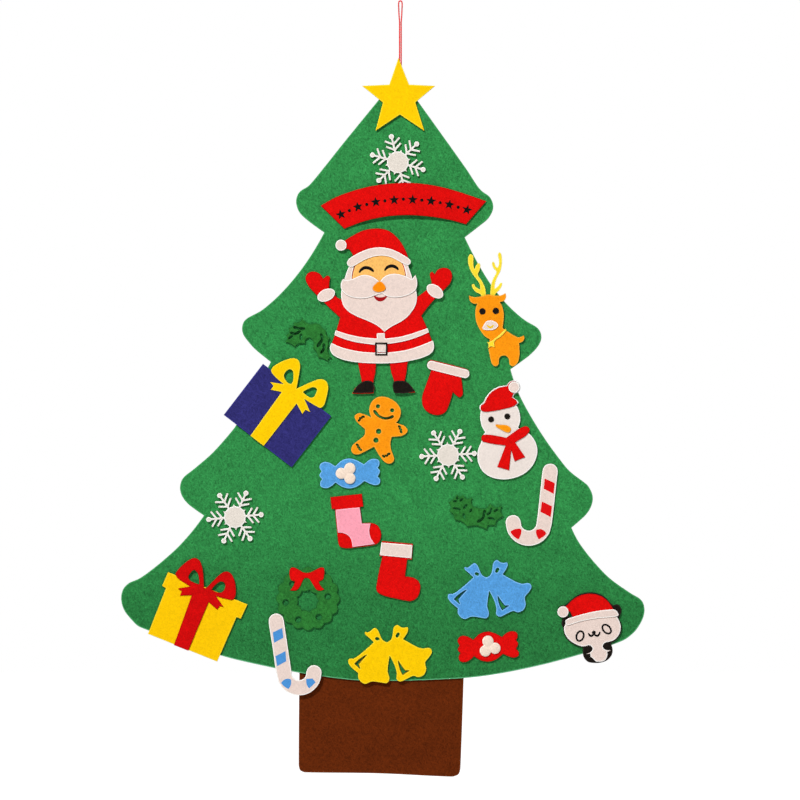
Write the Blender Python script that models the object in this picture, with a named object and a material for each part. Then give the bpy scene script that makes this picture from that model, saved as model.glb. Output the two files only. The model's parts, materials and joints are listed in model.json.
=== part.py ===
"""A felt Christmas tree that hangs on a wall: a green panel on a brown trunk, a loop of cord
to hang it by, and felt ornaments that a pad of hook tape holds on the panel.

Metres, +Z up. The origin is where the nail bears, inside the top of the cord's loop. The front
faces -Y. Felt is cut from flat sheet, so each piece is an outline pushed through its thickness.
Outlines are traced on the photograph, in its pixels, x to the right and y down.
"""

import math

import bmesh
import bpy
from mathutils import Matrix, Vector
from mathutils.geometry import interpolate_bezier

# Driving sizes
TREE_WIDTH = 0.700  # across the panel's lowest tier
HANG_DROP = 0.113  # from the nail down to the punched hole
PANEL_FELT = 0.0030
TRUNK_FELT = 0.0030
BASE_FELT = 0.0020  # an ornament's lowest sheet
TOP_FELT = 0.0012  # each sheet glued on it
GAP = 0.0003  # between pieces that lie on each other
PAD_DIAMETER = 0.0120  # a dot of hook tape
PAD_THICKNESS = 0.0012
PAD_SINK = 0.0008  # how far a pad is pressed into its felt
CORD_DIAMETER = 0.0016
STRAND_GAP = 0.0005  # between the loop's two strands
HOLE_DIAMETER = 0.0060
EYE_WIDTH = 0.0043  # across the loop's rounded top, between centrelines
EYE_LENGTH = 0.0280
EYE_BEND = 0.0014  # how far below its top the loop is at its full width
CORD_STEP = 0.0046  # between the points of a straight run
CORD_TURN = math.radians(24)  # the most that it turns between two points
KNOT_WIDTH = 0.0090
KNOT_HEIGHT = 0.0078
KNOT_DEPTH = 0.0029
BANNER_BOW = 0.0040  # how far the banner's middle stands off over the snowflake's tip
CHORD_ERROR = 0.00024  # the most that a straight facet leaves a round outline

# The photograph's pixels that the sizes are measured from
TREE_WIDTH_PX = 523.5
HOLE_PX = (400.4, 86.0)
PX = TREE_WIDTH / TREE_WIDTH_PX

CORNER = "corner"  # marks an outline's sharp point; the outline runs round through the others
ROUND_STEPS = 10
RING_STEPS = 12

# Depths, from the cord in front of the panel to the trunk behind it
PANEL_FRONT = CORD_DIAMETER / 2 + GAP
PANEL_BACK = PANEL_FRONT + PANEL_FELT
TRUNK_FRONT = PANEL_BACK + GAP
CORD_PAD = CORD_DIAMETER + GAP  # the star's pad, which leaves room for the cord behind the star
ANTLER_PAD = PAD_THICKNESS + GAP  # the reindeer's, which leaves room for its antlers

GREEN, DARK_GREEN = (0.023, 0.252, 0.060), (0.020, 0.150, 0.035)
BROWN = (0.112, 0.018, 0.004)
RED, DEEP_RED = (0.880, 0.004, 0.006), (0.680, 0.003, 0.003)
WHITE, SNOW = (0.860, 0.725, 0.665), (0.830, 0.740, 0.680)
YELLOW, GOLD = (1.000, 0.620, 0.003), (1.000, 0.560, 0.000)
NAVY, BLUE, PINK = (0.030, 0.022, 0.160), (0.085, 0.350, 0.800), (1.000, 0.340, 0.465)
ORANGE, SKIN, BLACK = (1.000, 0.315, 0.008), (1.000, 0.565, 0.188), (0.010, 0.008, 0.007)


# Shapes in the photograph's pixels


def arc(centre, radius, start, end, steps=8):
    """Points round a centre, angles in degrees, clockwise as seen; its two ends are corners."""
    points = []
    for i in range(steps + 1):
        angle = math.radians(start + (end - start) * i / steps)
        x, y = centre[0] + radius * math.cos(angle), centre[1] + radius * math.sin(angle)
        points.append((x, y, CORNER) if i in (0, steps) else (x, y))
    return points


def disc(centre, radius):
    return arc(centre, radius, 0, 360, RING_STEPS)[:-1]


def oval(centre, half_length, half_width, turn):
    flat = [(half_length * math.cos(a), half_width * math.sin(a)) for a in even_angles(RING_STEPS)]
    return moved(flat, centre, turn)


def even_angles(count):
    return [2 * math.pi * i / count for i in range(count)]


def moved(points, centre, turn=0.0):
    """The points turned clockwise by degrees about their own zero, then carried to the centre."""
    c, s = math.cos(math.radians(turn)), math.sin(math.radians(turn))
    return [
        (centre[0] + p[0] * c - p[1] * s, centre[1] + p[0] * s + p[1] * c, *p[2:]) for p in points
    ]


def band(path, width, steps=6):
    """The outline of a strip with round ends along a path of points."""
    spots = [Vector(p) for p in path]
    along = [(b - a).normalized() for a, b in zip(spots, spots[1:])]
    ways = [along[0]] + [(a + b).normalized() for a, b in zip(along, along[1:])] + [along[-1]]
    left = [p + Vector((w.y, -w.x)) * width / 2 for p, w in zip(spots, ways)]
    right = [p - Vector((w.y, -w.x)) * width / 2 for p, w in zip(spots, ways)]
    head = math.degrees(math.atan2(ways[-1].y, ways[-1].x))
    tail = math.degrees(math.atan2(ways[0].y, ways[0].x))
    end = [p[:2] for p in arc(spots[-1], width / 2, head - 90, head + 90, steps)]
    start = [p[:2] for p in arc(spots[0], width / 2, tail + 90, tail + 270, steps)]
    return [tuple(p) for p in left[1:-1]] + end + [tuple(p) for p in right[-2:0:-1]] + start


def square(path):
    """The same points, all of them corners."""
    return [(p[0], p[1], CORNER) for p in path]


def thinned(line, error):
    """An open line without the points that lie within the error of a straight run."""
    a, b = line[0], line[-1]
    run = b - a
    offsets = [abs(run.cross(p - a)) / run.length if run.length else (p - a).length for p in line]
    far = max(range(len(line)), key=offsets.__getitem__)
    if offsets[far] <= error or len(line) < 3:
        return [a, b]
    return thinned(line[: far + 1], error)[:-1] + thinned(line[far:], error)


def traced(points):
    """A closed outline through the points: round through a plain one, sharp at a corner."""
    spots = [Vector(p[:2]) for p in points]
    count = len(spots)
    line = []
    for i in range(count):
        j = (i + 1) % count
        a, b = spots[i], spots[j]
        ahead = (b - a) / 3
        leave, arrive = a + ahead, b - ahead
        if len(points[i]) == 2:
            leave = a + bisector(spots[i - 1], a, b) * ahead.length
        if len(points[j]) == 2:
            arrive = b - bisector(a, b, spots[(j + 1) % count]) * ahead.length
        line += interpolate_bezier(a, leave, arrive, b, ROUND_STEPS)[:-1]
    half = max(range(len(line)), key=lambda k: (line[k] - line[0]).length)
    error = CHORD_ERROR / PX
    back = thinned(line[half:] + line[:1], error)
    return thinned(line[: half + 1], error)[:-1] + back[:-1]


def bisector(before, here, after):
    return ((here - before).normalized() + (after - here).normalized()).normalized()


def spot(point):
    """Where a pixel of the photograph is on the tree, as X and Z."""
    return (point[0] - HOLE_PX[0]) * PX, -HANG_DROP - (point[1] - HOLE_PX[1]) * PX


# Nodes


def clear_scene():
    for obj in list(bpy.data.objects):
        bpy.data.objects.remove(obj)


def material(name, colour):
    made = bpy.data.materials.new(name)
    made.use_nodes = True
    shader = made.node_tree.nodes["Principled BSDF"]
    shader.inputs["Base Color"].default_value = (*colour, 1)
    shader.inputs["Roughness"].default_value = 0.9
    shader.inputs["Metallic"].default_value = 0.0
    made.diffuse_color = (*colour, 1)
    return made


def pivot(name, place, parent=None):
    """An empty that a moving group hangs on."""
    empty = bpy.data.objects.new(name, None)
    bpy.context.collection.objects.link(empty)
    empty.parent = parent
    empty.location = Vector(place) - (world_place(parent) if parent else Vector())
    return empty


def world_place(obj):
    return obj.location + (world_place(obj.parent) if obj.parent else Vector())


def add_node(name, colour, bm, parent):
    """The finished bmesh, made in world places, as a named object under its parent."""
    bmesh.ops.recalc_face_normals(bm, faces=bm.faces[:])
    mesh = bpy.data.meshes.new(name)
    bm.to_mesh(mesh)
    bm.free()
    mesh.transform(Matrix.Translation(-world_place(parent)))
    mesh.materials.append(material(name, colour))
    mesh.shade_smooth()
    mesh.set_sharp_from_angle(angle=math.radians(40))
    obj = bpy.data.objects.new(name, mesh)
    bpy.context.collection.objects.link(obj)
    obj.parent = parent
    return obj


def sheet(loops, back, thick):
    """A bmesh of the first loop, less the others, from its back to its front."""
    bm = bmesh.new()
    for loop in loops:
        ring = [bm.verts.new((x, back, z)) for x, z in map(spot, loop)]
        for a, b in zip(ring, ring[1:] + ring[:1]):
            bm.edges.new((a, b))
    bmesh.ops.triangle_fill(bm, edges=bm.edges[:], use_beauty=True)
    grown = bmesh.ops.extrude_face_region(bm, geom=bm.faces[:])
    front = [v for v in grown["geom"] if isinstance(v, bmesh.types.BMVert)]
    bmesh.ops.translate(bm, verts=front, vec=(0, -thick, 0))
    return bm


def add_pads(obj, pads, back, thick):
    """Round pads of hook tape fused to the back of a piece."""
    bm = bmesh.new()
    for x, z in map(spot, pads):
        turn = Matrix.Rotation(math.pi / 2, 4, "X")
        middle = Matrix.Translation((x, back + (thick - PAD_SINK) / 2, z))
        bmesh.ops.create_cone(
            bm, cap_ends=True, segments=RING_STEPS, radius1=PAD_DIAMETER / 2,
            radius2=PAD_DIAMETER / 2, depth=thick + PAD_SINK, matrix=middle @ turn,
        )
    helper = add_node(obj.name + "_pads", BLACK, bm, obj.parent)
    helper.hide_render = True
    helper.display_type = "WIRE"
    union = obj.modifiers.new("pads", "BOOLEAN")
    union.operation = "UNION"
    union.object = helper


class Ornament:
    """Felt sheets glued in a stack, with hook pads behind the lowest one."""

    def __init__(self, name, centre, tree, pad=PAD_THICKNESS):
        self.name, self.pad = name, pad
        x, z = spot(centre)
        self.pivot = pivot(name + "_pivot", (x, PANEL_FRONT, z), tree)

    def back(self, level):
        base = PANEL_FRONT - GAP - self.pad
        return base if level == 0 else base - BASE_FELT - GAP - (level - 1) * (TOP_FELT + GAP)

    def add(self, part, colour, outline, level=0, holes=(), pads=()):
        """One sheet. Level 0 is the base; pads are where its hook tape is."""
        name = self.name + ("_" + part if part else "")
        back, thick = self.back(level), TOP_FELT if level else BASE_FELT
        bm = sheet([traced(loop) for loop in [outline, *holes]], back, thick)
        obj = add_node(name, colour, bm, self.pivot)
        if pads:
            add_pads(obj, pads, back, self.pad)
        return obj


# The panel, its trunk and the cord that it hangs by

TREE_PX = [
    (399, 75, CORNER), (377.8, 100.8), (354.4, 129.4), (334.9, 153.5), (326.4, 164.4),
    (316.2, 176.9), (308.4, 185.8), (299.4, 192), (296.1, 200.2), (298.9, 211.4), (308, 220.5),
    (324.2, 232.4, CORNER), (318.6, 242.6), (312.8, 252.4), (299.4, 271.8), (280, 294.2),
    (263, 309.2), (255.4, 314), (247.8, 317.8), (243.4, 322.4), (242, 329), (243.4, 334.8),
    (247, 340), (253.8, 348), (270.7, 361.9, CORNER), (262, 379), (250, 401), (235.4, 426.2),
    (223.4, 440.9), (210, 455.2), (193.4, 469.3), (182.3, 479), (179.9, 486.8), (181, 494),
    (186.6, 502.6), (203.9, 515.6, CORNER), (193.2, 529.9), (179.6, 545.4), (166.7, 557.4),
    (146.1, 574), (136.9, 579.8), (129.3, 582.9), (123, 589.4), (121.1, 599.8), (124.5, 611.1),
    (130, 618), (137.5, 625.8), (148.2, 630.4), (222, 656), (260, 665.2), (306, 674),
    (356.5, 680.4), (391, 681), (420, 680.4), (480, 676.6), (540, 665.4), (582.9, 653.8),
    (611.9, 645), (626.8, 638.5), (637.9, 627.8), (644.6, 611.4), (642, 601), (631.6, 593.8),
    (612.7, 580.7), (601.6, 570.4), (578.8, 542), (571.5, 527.8, CORNER), (589, 510.8),
    (592.9, 498), (588.2, 486), (579.4, 478.8), (569.6, 471), (559.3, 458.6), (542.9, 435.7),
    (527.1, 409.6), (517.4, 390.2), (510.5, 369.3, CORNER), (531.8, 353.3), (539.5, 344),
    (541.5, 337), (539, 329.5), (525.7, 320.6), (515.5, 312.4), (504.3, 301.2), (490, 283),
    (473.7, 255.3), (464.8, 237.2, CORNER), (479.4, 226), (489.2, 217.2), (493.3, 207.2),
    (490.5, 197.8), (480.8, 189.8), (465.8, 168), (440.3, 132.7), (418, 101.4),
]
TRUNK_PX = [
    (299.4, 661, CORNER), (464.3, 661, CORNER), (460.6, 768, CORNER), (458.6, 774.8),
    (452, 777.3, CORNER), (379, 774, CORNER), (305, 773, CORNER), (300.2, 771),
    (298.5, 765.5, CORNER),
]


def build_panel(tree):
    hole = arc(HOLE_PX, HOLE_DIAMETER / 2 / PX, 0, 360, RING_STEPS)[:-1]
    panel = sheet([traced(TREE_PX), traced(hole)], PANEL_BACK, PANEL_FELT)
    add_node("tree_panel", GREEN, panel, tree)
    trunk = sheet([traced(TRUNK_PX)], TRUNK_FRONT + TRUNK_FELT, TRUNK_FELT)
    add_node("trunk", BROWN, trunk, tree)


EYE_TOP_SHARES = [(0, 0), (0.72, 0.45), (1, 1.6)]  # of half the eye's width, and of its bend
EYE_SIDE_SHARES = [(1, 0.35), (0.8, 0.7)]  # of half the eye's width, and of its length
STRAND_SHARES = [0.5, 0.8]  # of the drop from the nail to the hole
HOLE_SHARES = [(0, 1), (0, 0.42), (0.3, 0.2), (1, 0.06)]  # of the panel's depth, and of the hole


def cord_route():
    """Half of the cord's route, from the loop's top down to the knot, on the +X side."""
    side = (CORD_DIAMETER + STRAND_GAP) / 2
    eye, top = EYE_WIDTH / 2, CORD_DIAMETER / 2
    route = [(eye * x, 0, top - EYE_BEND * z) for x, z in EYE_TOP_SHARES]
    route += [(eye * x, 0, -EYE_LENGTH * z) for x, z in EYE_SIDE_SHARES]
    route += [(side, 0, -EYE_LENGTH), (side, 0, -EYE_LENGTH - HOLE_DIAMETER)]
    route += [(side, 0, -HANG_DROP * z) for z in STRAND_SHARES]
    route += [(side, PANEL_FRONT * y, HOLE_DIAMETER * z - HANG_DROP) for y, z in HOLE_SHARES]
    middle = (PANEL_FRONT + PANEL_BACK) / 2
    return route + [(side, middle, -HANG_DROP), (side, PANEL_BACK, -HANG_DROP)]


def smooth_run(points):
    """Points on a smooth curve through the route's, closer together where it bends."""
    spots = [Vector(p) for p in points]
    spots = [spots[0] * 2 - spots[1], *spots, spots[-1] * 2 - spots[-2]]
    fine = []
    for before, a, b, after in zip(spots, spots[1:], spots[2:], spots[3:]):
        reach = (b - a).length / 3
        leave, arrive = bisector(before, a, b) * reach, bisector(a, b, after) * reach
        fine += interpolate_bezier(a, a + leave, b - arrive, b, 4 * ROUND_STEPS)[:-1]
    fine.append(spots[-2])
    kept, way = [fine[0]], fine[1] - fine[0]
    for here, ahead in zip(fine[1:], fine[2:]):
        step = ahead - here
        if (here - kept[-1]).length >= CORD_STEP or way.angle(step) >= CORD_TURN:
            kept.append(here)
            way = step
    if (fine[-1] - kept[-1]).length < CORD_DIAMETER / 2 and len(kept) > 1:
        kept.pop()
    return kept + [fine[-1]]


def build_cord(hanger):
    route = cord_route()
    mirrored = [(-x, y, z) for x, y, z in reversed(route[1:])]
    points = smooth_run(mirrored + route)
    curve = bpy.data.curves.new("hanging_cord", "CURVE")
    curve.dimensions = "3D"
    curve.bevel_depth = CORD_DIAMETER / 2
    curve.bevel_resolution = 2
    curve.use_fill_caps = True
    spline = curve.splines.new("POLY")
    spline.points.add(len(points) - 1)
    for point, place in zip(spline.points, points):
        point.co = (*(place - world_place(hanger)), 1)
    curve.materials.append(material("hanging_cord", RED))
    cord = bpy.data.objects.new("hanging_cord", curve)
    bpy.context.collection.objects.link(cord)
    cord.parent = hanger
    knot = bmesh.new()
    size = Matrix.Diagonal((KNOT_WIDTH / 2, KNOT_DEPTH / 2, KNOT_HEIGHT / 2, 1))
    middle = Matrix.Translation((0, PANEL_BACK + GAP + KNOT_DEPTH / 2, -HANG_DROP))
    bmesh.ops.create_uvsphere(
        knot, u_segments=16, v_segments=8, radius=1, matrix=middle @ size
    )
    add_node("cord_knot", RED, knot, hanger)


# Star, snowflakes and banner

STAR_PX = [
    (398.5, 58), (409.1, 84.8), (435.2, 86.1), (415.4, 102.7), (424.4, 131.1), (399.9, 114.8),
    (375.5, 131.1), (382.9, 102.7), (362.1, 86.1), (389.3, 84.8),
]
STAR_PAD_PX = (399.4, 106.5)

FLAKE_DISC_PX, FLAKE_TIP_PX, FLAKE_BULB_PX, FLAKE_STROKE_PX = 10.9, 26.3, 2.6, 1.9
FLAKE_BRANCHES_PX = [(12.6, 9.3), (18.2, 9.4)]  # where each pair leaves its arm, and its length
FLAKE_BRANCH_TURN = 55.0
FLAKE_SPIKE_PX, FLAKE_SPIKE_TURN = 2.3, 6.0
FLAKES = {
    "snowflake_top": ((397.8, 162.4), -16.0),
    "snowflake_middle": ((448.0, 455.0), 3.2),
    "snowflake_left": ((235.0, 517.0), 5.2),
}

BANNER_TOP_PX = [
    (320.7, 205.8, CORNER), (336.1, 197.3), (357.2, 189.8), (378.2, 185.4), (406.3, 183.3),
    (431.5, 185.4), (455.4, 190.9), (486.3, 201.3, CORNER),
]
BANNER_BOTTOM_PX = [
    (465.9, 224.4, CORNER), (448.4, 219.8), (427.3, 216.6), (406.3, 215.5), (385.2, 217),
    (364.2, 221.5), (344.5, 228.9, CORNER),
]
BANNER_PADS_PX = [(337.5, 211.5), (471, 208.5)]
BANNER_BOW_PX = (352.0, 456.0)  # between these the banner stands off the panel
BOW_ROUNDING = 0.8  # under 1 makes the bow fuller than a sine


def flake_outline(turn):
    """Six arms with two pairs of branches and a round bulb each, on a disc with small spikes."""
    half = FLAKE_STROKE_PX / 2
    c, s = (f(math.radians(FLAKE_BRANCH_TURN)) for f in (math.cos, math.sin))
    side = [(math.sqrt(FLAKE_DISC_PX**2 - half**2), half, CORNER)]
    for root, long in FLAKE_BRANCHES_PX:
        side += [
            (root - s * half + c * half * (1 - c) / s, half, CORNER),
            (root - s * half + c * long, c * half + s * long, CORNER),
            (root + s * half + c * long, -c * half + s * long, CORNER),
            (root + s * half + c * half * (1 + c) / s, half, CORNER),
        ]
    neck = math.degrees(math.asin(half / FLAKE_BULB_PX))
    bulb = arc((FLAKE_TIP_PX, 0), FLAKE_BULB_PX, 180 - neck, neck - 180)
    other = [(u, -v, mark) for u, v, mark in reversed(side)]
    spike = [
        (FLAKE_DISC_PX, 30 - FLAKE_SPIKE_TURN), (FLAKE_DISC_PX + FLAKE_SPIKE_PX, 30),
        (FLAKE_DISC_PX, 30 + FLAKE_SPIKE_TURN),
    ]
    rim = [(*Vector((r, 0)) @ Matrix.Rotation(math.radians(a), 2), CORNER) for r, a in spike]
    arm = side + bulb + other + rim
    outline = []
    for i in range(6):
        outline += moved(arm, (0, 0), turn - 60 * i)
    return outline


def build_star(tree):
    star = Ornament("star", STAR_PAD_PX, tree, CORD_PAD)
    star.add("", YELLOW, square(STAR_PX), pads=[STAR_PAD_PX])


def build_snowflakes(tree):
    for name, (centre, turn) in FLAKES.items():
        flake = Ornament(name, centre, tree)
        flake.add("", SNOW, moved(flake_outline(-turn), centre), pads=[centre])


def bow_banner(banner):
    """Curves the banner's middle forward, flat at its ends, where its pads are."""
    low, high = (spot((x, 0))[0] for x in BANNER_BOW_PX)
    across = world_place(banner).x
    for vertex in banner.data.vertices:
        share = min(max((vertex.co.x + across - low) / (high - low), 0), 1)
        vertex.co.y -= BANNER_BOW * math.sin(math.pi * share) ** BOW_ROUNDING


def build_banner(tree):
    banner = Ornament("banner", (406.3, 199), tree)
    obj = banner.add("", RED, BANNER_TOP_PX + BANNER_BOTTOM_PX, pads=BANNER_PADS_PX)
    bow_banner(obj)


# Father Christmas

SANTA_BODY_PX = [
    (343, 241.5, CORNER), (354.3, 234.9), (363.5, 230.5), (376.1, 228.6), (387.6, 230.5),
    (395.6, 236.1), (401.4, 243), (405.6, 251), (408.6, 258.6, CORNER), (405.5, 266), (409.5, 276),
    (413.5, 290), (417.4, 296.9, CORNER), (426.6, 290, CORNER), (431.4, 284), (430.2, 273.2),
    (432.4, 271.9), (434.6, 274.7, CORNER), (438.1, 269.6), (444.6, 268), (450.1, 270.3),
    (452, 276.5), (450.1, 283.1), (446.1, 287.9), (440, 293.5, CORNER), (427.8, 307.2),
    (421.4, 315.9, CORNER), (424.9, 323.3), (428.7, 332.3), (431.9, 341), (433.3, 346.5),
    (431.6, 351.5), (425, 356), (409.2, 360.3), (406.5, 371.5), (404.6, 381.6, CORNER),
    (411.9, 386.7), (415.4, 392.4, CORNER), (404.8, 393, CORNER), (394.7, 392.4, CORNER),
    (393.4, 386.5), (394.3, 382.4, CORNER), (391, 371.5), (389.9, 362.6, CORNER),
    (375.9, 362.6, CORNER), (375.3, 372.7), (373.3, 383, CORNER), (374.3, 387),
    (373.6, 393.3, CORNER), (363.5, 393.9), (352.1, 393.6, CORNER), (356.4, 386.7),
    (361.9, 382.3, CORNER), (359.7, 371.5), (357.8, 361.8, CORNER), (341, 358.2), (333.2, 353.8),
    (330.7, 348.4), (332.2, 342.3), (335, 334.8), (340.2, 317.6, CORNER), (332.5, 310.7),
    (320, 298.5, CORNER), (311.8, 290), (306.8, 283), (305.7, 277.5), (308.2, 273.2),
    (313.8, 271.7), (319.8, 274), (323.3, 278.9, CORNER), (327.6, 275.8), (329.8, 277),
    (329.4, 283), (330, 290, CORNER), (340.9, 299.8, CORNER), (344, 284), (350, 267),
    (352.9, 256.7, CORNER), (351.6, 252.6), (348.6, 249.2), (343.4, 249.6), (338.4, 248.6),
    (336.4, 245.2), (338.4, 241.8),
]
SANTA_FACE_PX = [
    (357.4, 261, CORNER), (380, 253.4, CORNER), (399.4, 258.6, CORNER), (402.2, 264.2),
    (403.9, 268.9), (405.3, 275.5), (405.6, 282.6, CORNER), (380, 284.6, CORNER),
    (352.4, 283.2, CORNER), (352.6, 278), (353.4, 272.4), (354.9, 267.4),
]
SANTA_BEARD_PX = [
    (351.9, 262, CORNER), (347.6, 270), (344.2, 281), (341.3, 291.5), (341.6, 300), (344.2, 307),
    (349, 312), (356, 316), (370.4, 322.2), (378, 326.3), (384.4, 331.9, CORNER), (391.5, 326.8),
    (400.2, 322.2), (407, 317.3), (412, 311.5), (415.8, 304.5), (416.9, 296), (414.6, 285),
    (411.4, 276), (407.4, 264, CORNER), (402, 262, CORNER), (403, 264), (404.6, 268.7),
    (405.9, 275.4), (406.3, 286, CORNER), (380, 288, CORNER), (351.5, 286, CORNER), (351.9, 278),
    (352.6, 272.2), (354.1, 266.8), (355.6, 262, CORNER),
]
SANTA_MOUSTACHE_PX = [
    (379.6, 282, CORNER), (372.7, 277), (363.5, 275.1), (352.6, 279, CORNER),
    (344.9, 280.3, CORNER), (343.2, 278.9, CORNER), (340.9, 284.3), (341.7, 290), (347.4, 295.6),
    (357.7, 298.5), (368.1, 298), (375, 295.8), (381.8, 293.6, CORNER), (387, 296.3),
    (393.3, 297.7), (402.5, 296.9), (411.7, 293.4), (416.3, 288.9), (417.2, 282),
    (415.4, 275.1, CORNER), (411.9, 279.6, CORNER), (405.4, 276.4), (393.9, 274), (385.4, 276.2),
]
SANTA_NOSE_PX = [
    (380.1, 281.6), (384, 284.4), (385.7, 289), (382, 291.8), (376, 292), (372.6, 289.2),
    (375.6, 284),
]
SANTA_HAT_BAND_PX = [
    (347, 263), (348.5, 259.8), (354.3, 255.6), (363.5, 251), (372.7, 248.2), (380.7, 247.6),
    (388.7, 248.7), (396.8, 251.6), (404.8, 256.2), (410.2, 260.2), (410.7, 262.9), (408.6, 265.3),
    (405.8, 265), (400.8, 262.6), (391, 257.5), (380.7, 255.9), (372.7, 257.1), (363.5, 260.8),
    (356.2, 265.1), (351.4, 267.2), (348.2, 265.9),
]
SANTA_BELT_PX = [
    (335.6, 330.2, CORNER), (349, 334.6), (364, 337.5), (376.8, 338.5, CORNER),
    (376.8, 333.3, CORNER), (384.8, 333.2, CORNER), (384.9, 338.6, CORNER), (400, 336.8),
    (415, 332.6), (427.6, 328.1, CORNER), (429, 332.3, CORNER), (416.3, 337.7), (402.5, 341.7),
    (386.3, 344.1, CORNER), (386.3, 352, CORNER), (376.4, 352, CORNER), (376.4, 345, CORNER),
    (358.9, 342.8), (345.1, 339.4), (334.4, 335.1, CORNER),
]
SANTA_HEM_PX = [
    (331.3, 342.8, CORNER), (341.7, 347.4), (358.9, 351.4), (368, 352.4), (375.6, 352.7, CORNER),
    (380.7, 352.8), (387, 352.6, CORNER), (395, 351.8), (404.8, 350.3), (418.6, 346.3),
    (432.9, 340.5, CORNER), (434.1, 346.3), (432.4, 352), (425.5, 356.6), (409.4, 361),
    (391, 363.3), (375, 363.4), (354.3, 362.1), (340.5, 358.9), (332.5, 354.3), (329.9, 348.6),
]
SANTA_BUCKLE_PX = [(375.1, 342.7), (387.4, 342.7), (387.4, 355.5), (375.1, 355.5)]
SANTA_BUCKLE_HOLE_PX = [(376.7, 344.2), (385.8, 344.2), (385.8, 354), (376.7, 354)]
SANTA_BOOTS_PX = {
    "boot_left": [
        (352.6, 392.8, CORNER), (356.8, 386.5), (362.3, 381.9), (368.1, 380.7), (372.9, 382.4),
        (374.1, 387), (373.4, 392.3, CORNER), (363.5, 393),
    ],
    "boot_right": [
        (394.2, 393, CORNER), (392.7, 386.5), (394, 381.9), (400.2, 380.7), (405.9, 381.6),
        (411.5, 386.3), (414.9, 391.4, CORNER), (404.8, 393.4),
    ],
}
SANTA_CUFFS_PX = {"cuff_left": ((326.3, 295.3), -25), "cuff_right": ((434.9, 291.4), 36)}
SANTA_CUFF_HALF_PX = (9.4, 5.9)
SANTA_PADS_PX = [(379, 242), (379, 305), (348, 350), (415, 350), (380, 337)]
POMPOM_PX = 5.6


def build_santa(tree):
    santa = Ornament("santa", (380, 312), tree)
    santa.add("body", RED, SANTA_BODY_PX, pads=SANTA_PADS_PX)
    santa.add("face", SKIN, SANTA_FACE_PX, 1)
    santa.add("beard", WHITE, SANTA_BEARD_PX, 1)
    santa.add("moustache", WHITE, SANTA_MOUSTACHE_PX, 2)
    santa.add("nose", ORANGE, SANTA_NOSE_PX, 3)
    santa.add("hat_band", WHITE, SANTA_HAT_BAND_PX, 2)
    santa.add("pompom", WHITE, disc((341.1, 245.4), POMPOM_PX), 1)
    for part, (centre, turn) in SANTA_CUFFS_PX.items():
        santa.add(part, WHITE, oval(centre, *SANTA_CUFF_HALF_PX, turn), 1)
    santa.add("belt", WHITE, SANTA_BELT_PX, 1)
    santa.add("hem", WHITE, SANTA_HEM_PX, 1)
    santa.add("buckle", BLACK, square(SANTA_BUCKLE_PX), 2, [square(SANTA_BUCKLE_HOLE_PX)])
    for part, outline in SANTA_BOOTS_PX.items():
        santa.add(part, BLACK, outline, 1)


# Reindeer

REINDEER_BODY_PX = [
    (481.8, 296.3), (488, 294.6), (494.6, 295.6), (501, 295.3), (505.3, 293.1, CORNER),
    (506.1, 296.6), (504.3, 300.7), (499.7, 302.2, CORNER), (502.4, 307.3), (503.8, 314.5),
    (503.3, 321.6), (502.6, 328, CORNER), (506.3, 330.8), (513.5, 334.9), (518, 337.4),
    (523.7, 335.4, CORNER), (524.4, 338.2), (522.5, 341.6), (519.1, 343.1, CORNER), (519.6, 350.2),
    (519.2, 357.3), (517.4, 363), (513, 366.3), (509.9, 365), (508.6, 358.9), (506.3, 356.2),
    (501.2, 356.2), (499.2, 358.8), (498.4, 364.6), (495.1, 366.3), (492, 364), (490, 357.3),
    (488.3, 347, CORNER), (490, 339.6, CORNER), (484.9, 336.4), (479.8, 329.8), (476.2, 321.6),
    (475.2, 314.5), (475.7, 308.4), (477.4, 303.8, CORNER), (473.7, 303.8), (470.1, 301.2),
    (468.9, 295.6, CORNER), (474, 297.2),
]
REINDEER_ANTLERS_PX = [
    (481.2, 299, CORNER), (480.8, 294.8), (475.7, 292), (472.1, 287), (471.9, 284.7),
    (473.7, 284.1), (475.6, 286.8), (480.3, 289.6, CORNER), (479.3, 283.4), (473.7, 275.7),
    (470.1, 269.6), (468.1, 262.4), (468.4, 256.4), (470.6, 254.2), (472.9, 255.3), (473.5, 260.4),
    (473.5, 265.5), (474.7, 269.3, CORNER), (476.7, 264.5), (478.8, 263.1), (480.2, 264.5),
    (479.8, 269.6), (478, 274.7), (481.8, 280.8), (484.4, 285.9), (485.7, 291),
    (485.9, 297, CORNER), (490.2, 297, CORNER), (490.4, 291.5), (490.8, 286.9), (492.2, 280.8),
    (494.5, 275.7), (496.3, 272.2), (493.1, 267.6), (492, 263.4), (492.9, 261.7), (494.3, 262.7),
    (495.6, 266), (497.2, 267.8, CORNER), (498.7, 265), (498.9, 260.4), (498, 254.3),
    (499.2, 252.3), (500.8, 253.3), (501.9, 258.4), (501.9, 263.5), (500.7, 270.6), (497.1, 277.8),
    (495.2, 283.4), (494.7, 288.6, CORNER), (498.2, 285.9), (500.5, 282.9), (501.9, 282.9),
    (501.9, 285.6), (499.2, 290.4), (495.3, 294.4), (495, 299, CORNER), (493, 303, CORNER),
    (484, 303, CORNER),
]
REINDEER_MUZZLE_PX = [
    (482.2, 328.2), (483.6, 325.2), (486, 321.8), (489.6, 320.4), (494, 321.4), (498.1, 325.2),
    (496.2, 328.3), (492.4, 330), (487, 330.2), (483, 329.4),
]
REINDEER_COLLAR_PX = [
    (505.4, 328.8, CORNER), (506.3, 330.6, CORNER), (500.9, 336.4), (495.1, 340.6),
    (494, 342.6, CORNER), (494.8, 347.4, CORNER), (491, 346.4, CORNER), (487.4, 348.7, CORNER),
    (488.4, 345.1, CORNER), (486.9, 342.2, CORNER), (490.6, 341.4, CORNER), (497.1, 336.7),
    (502.2, 331.8),
]
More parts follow.
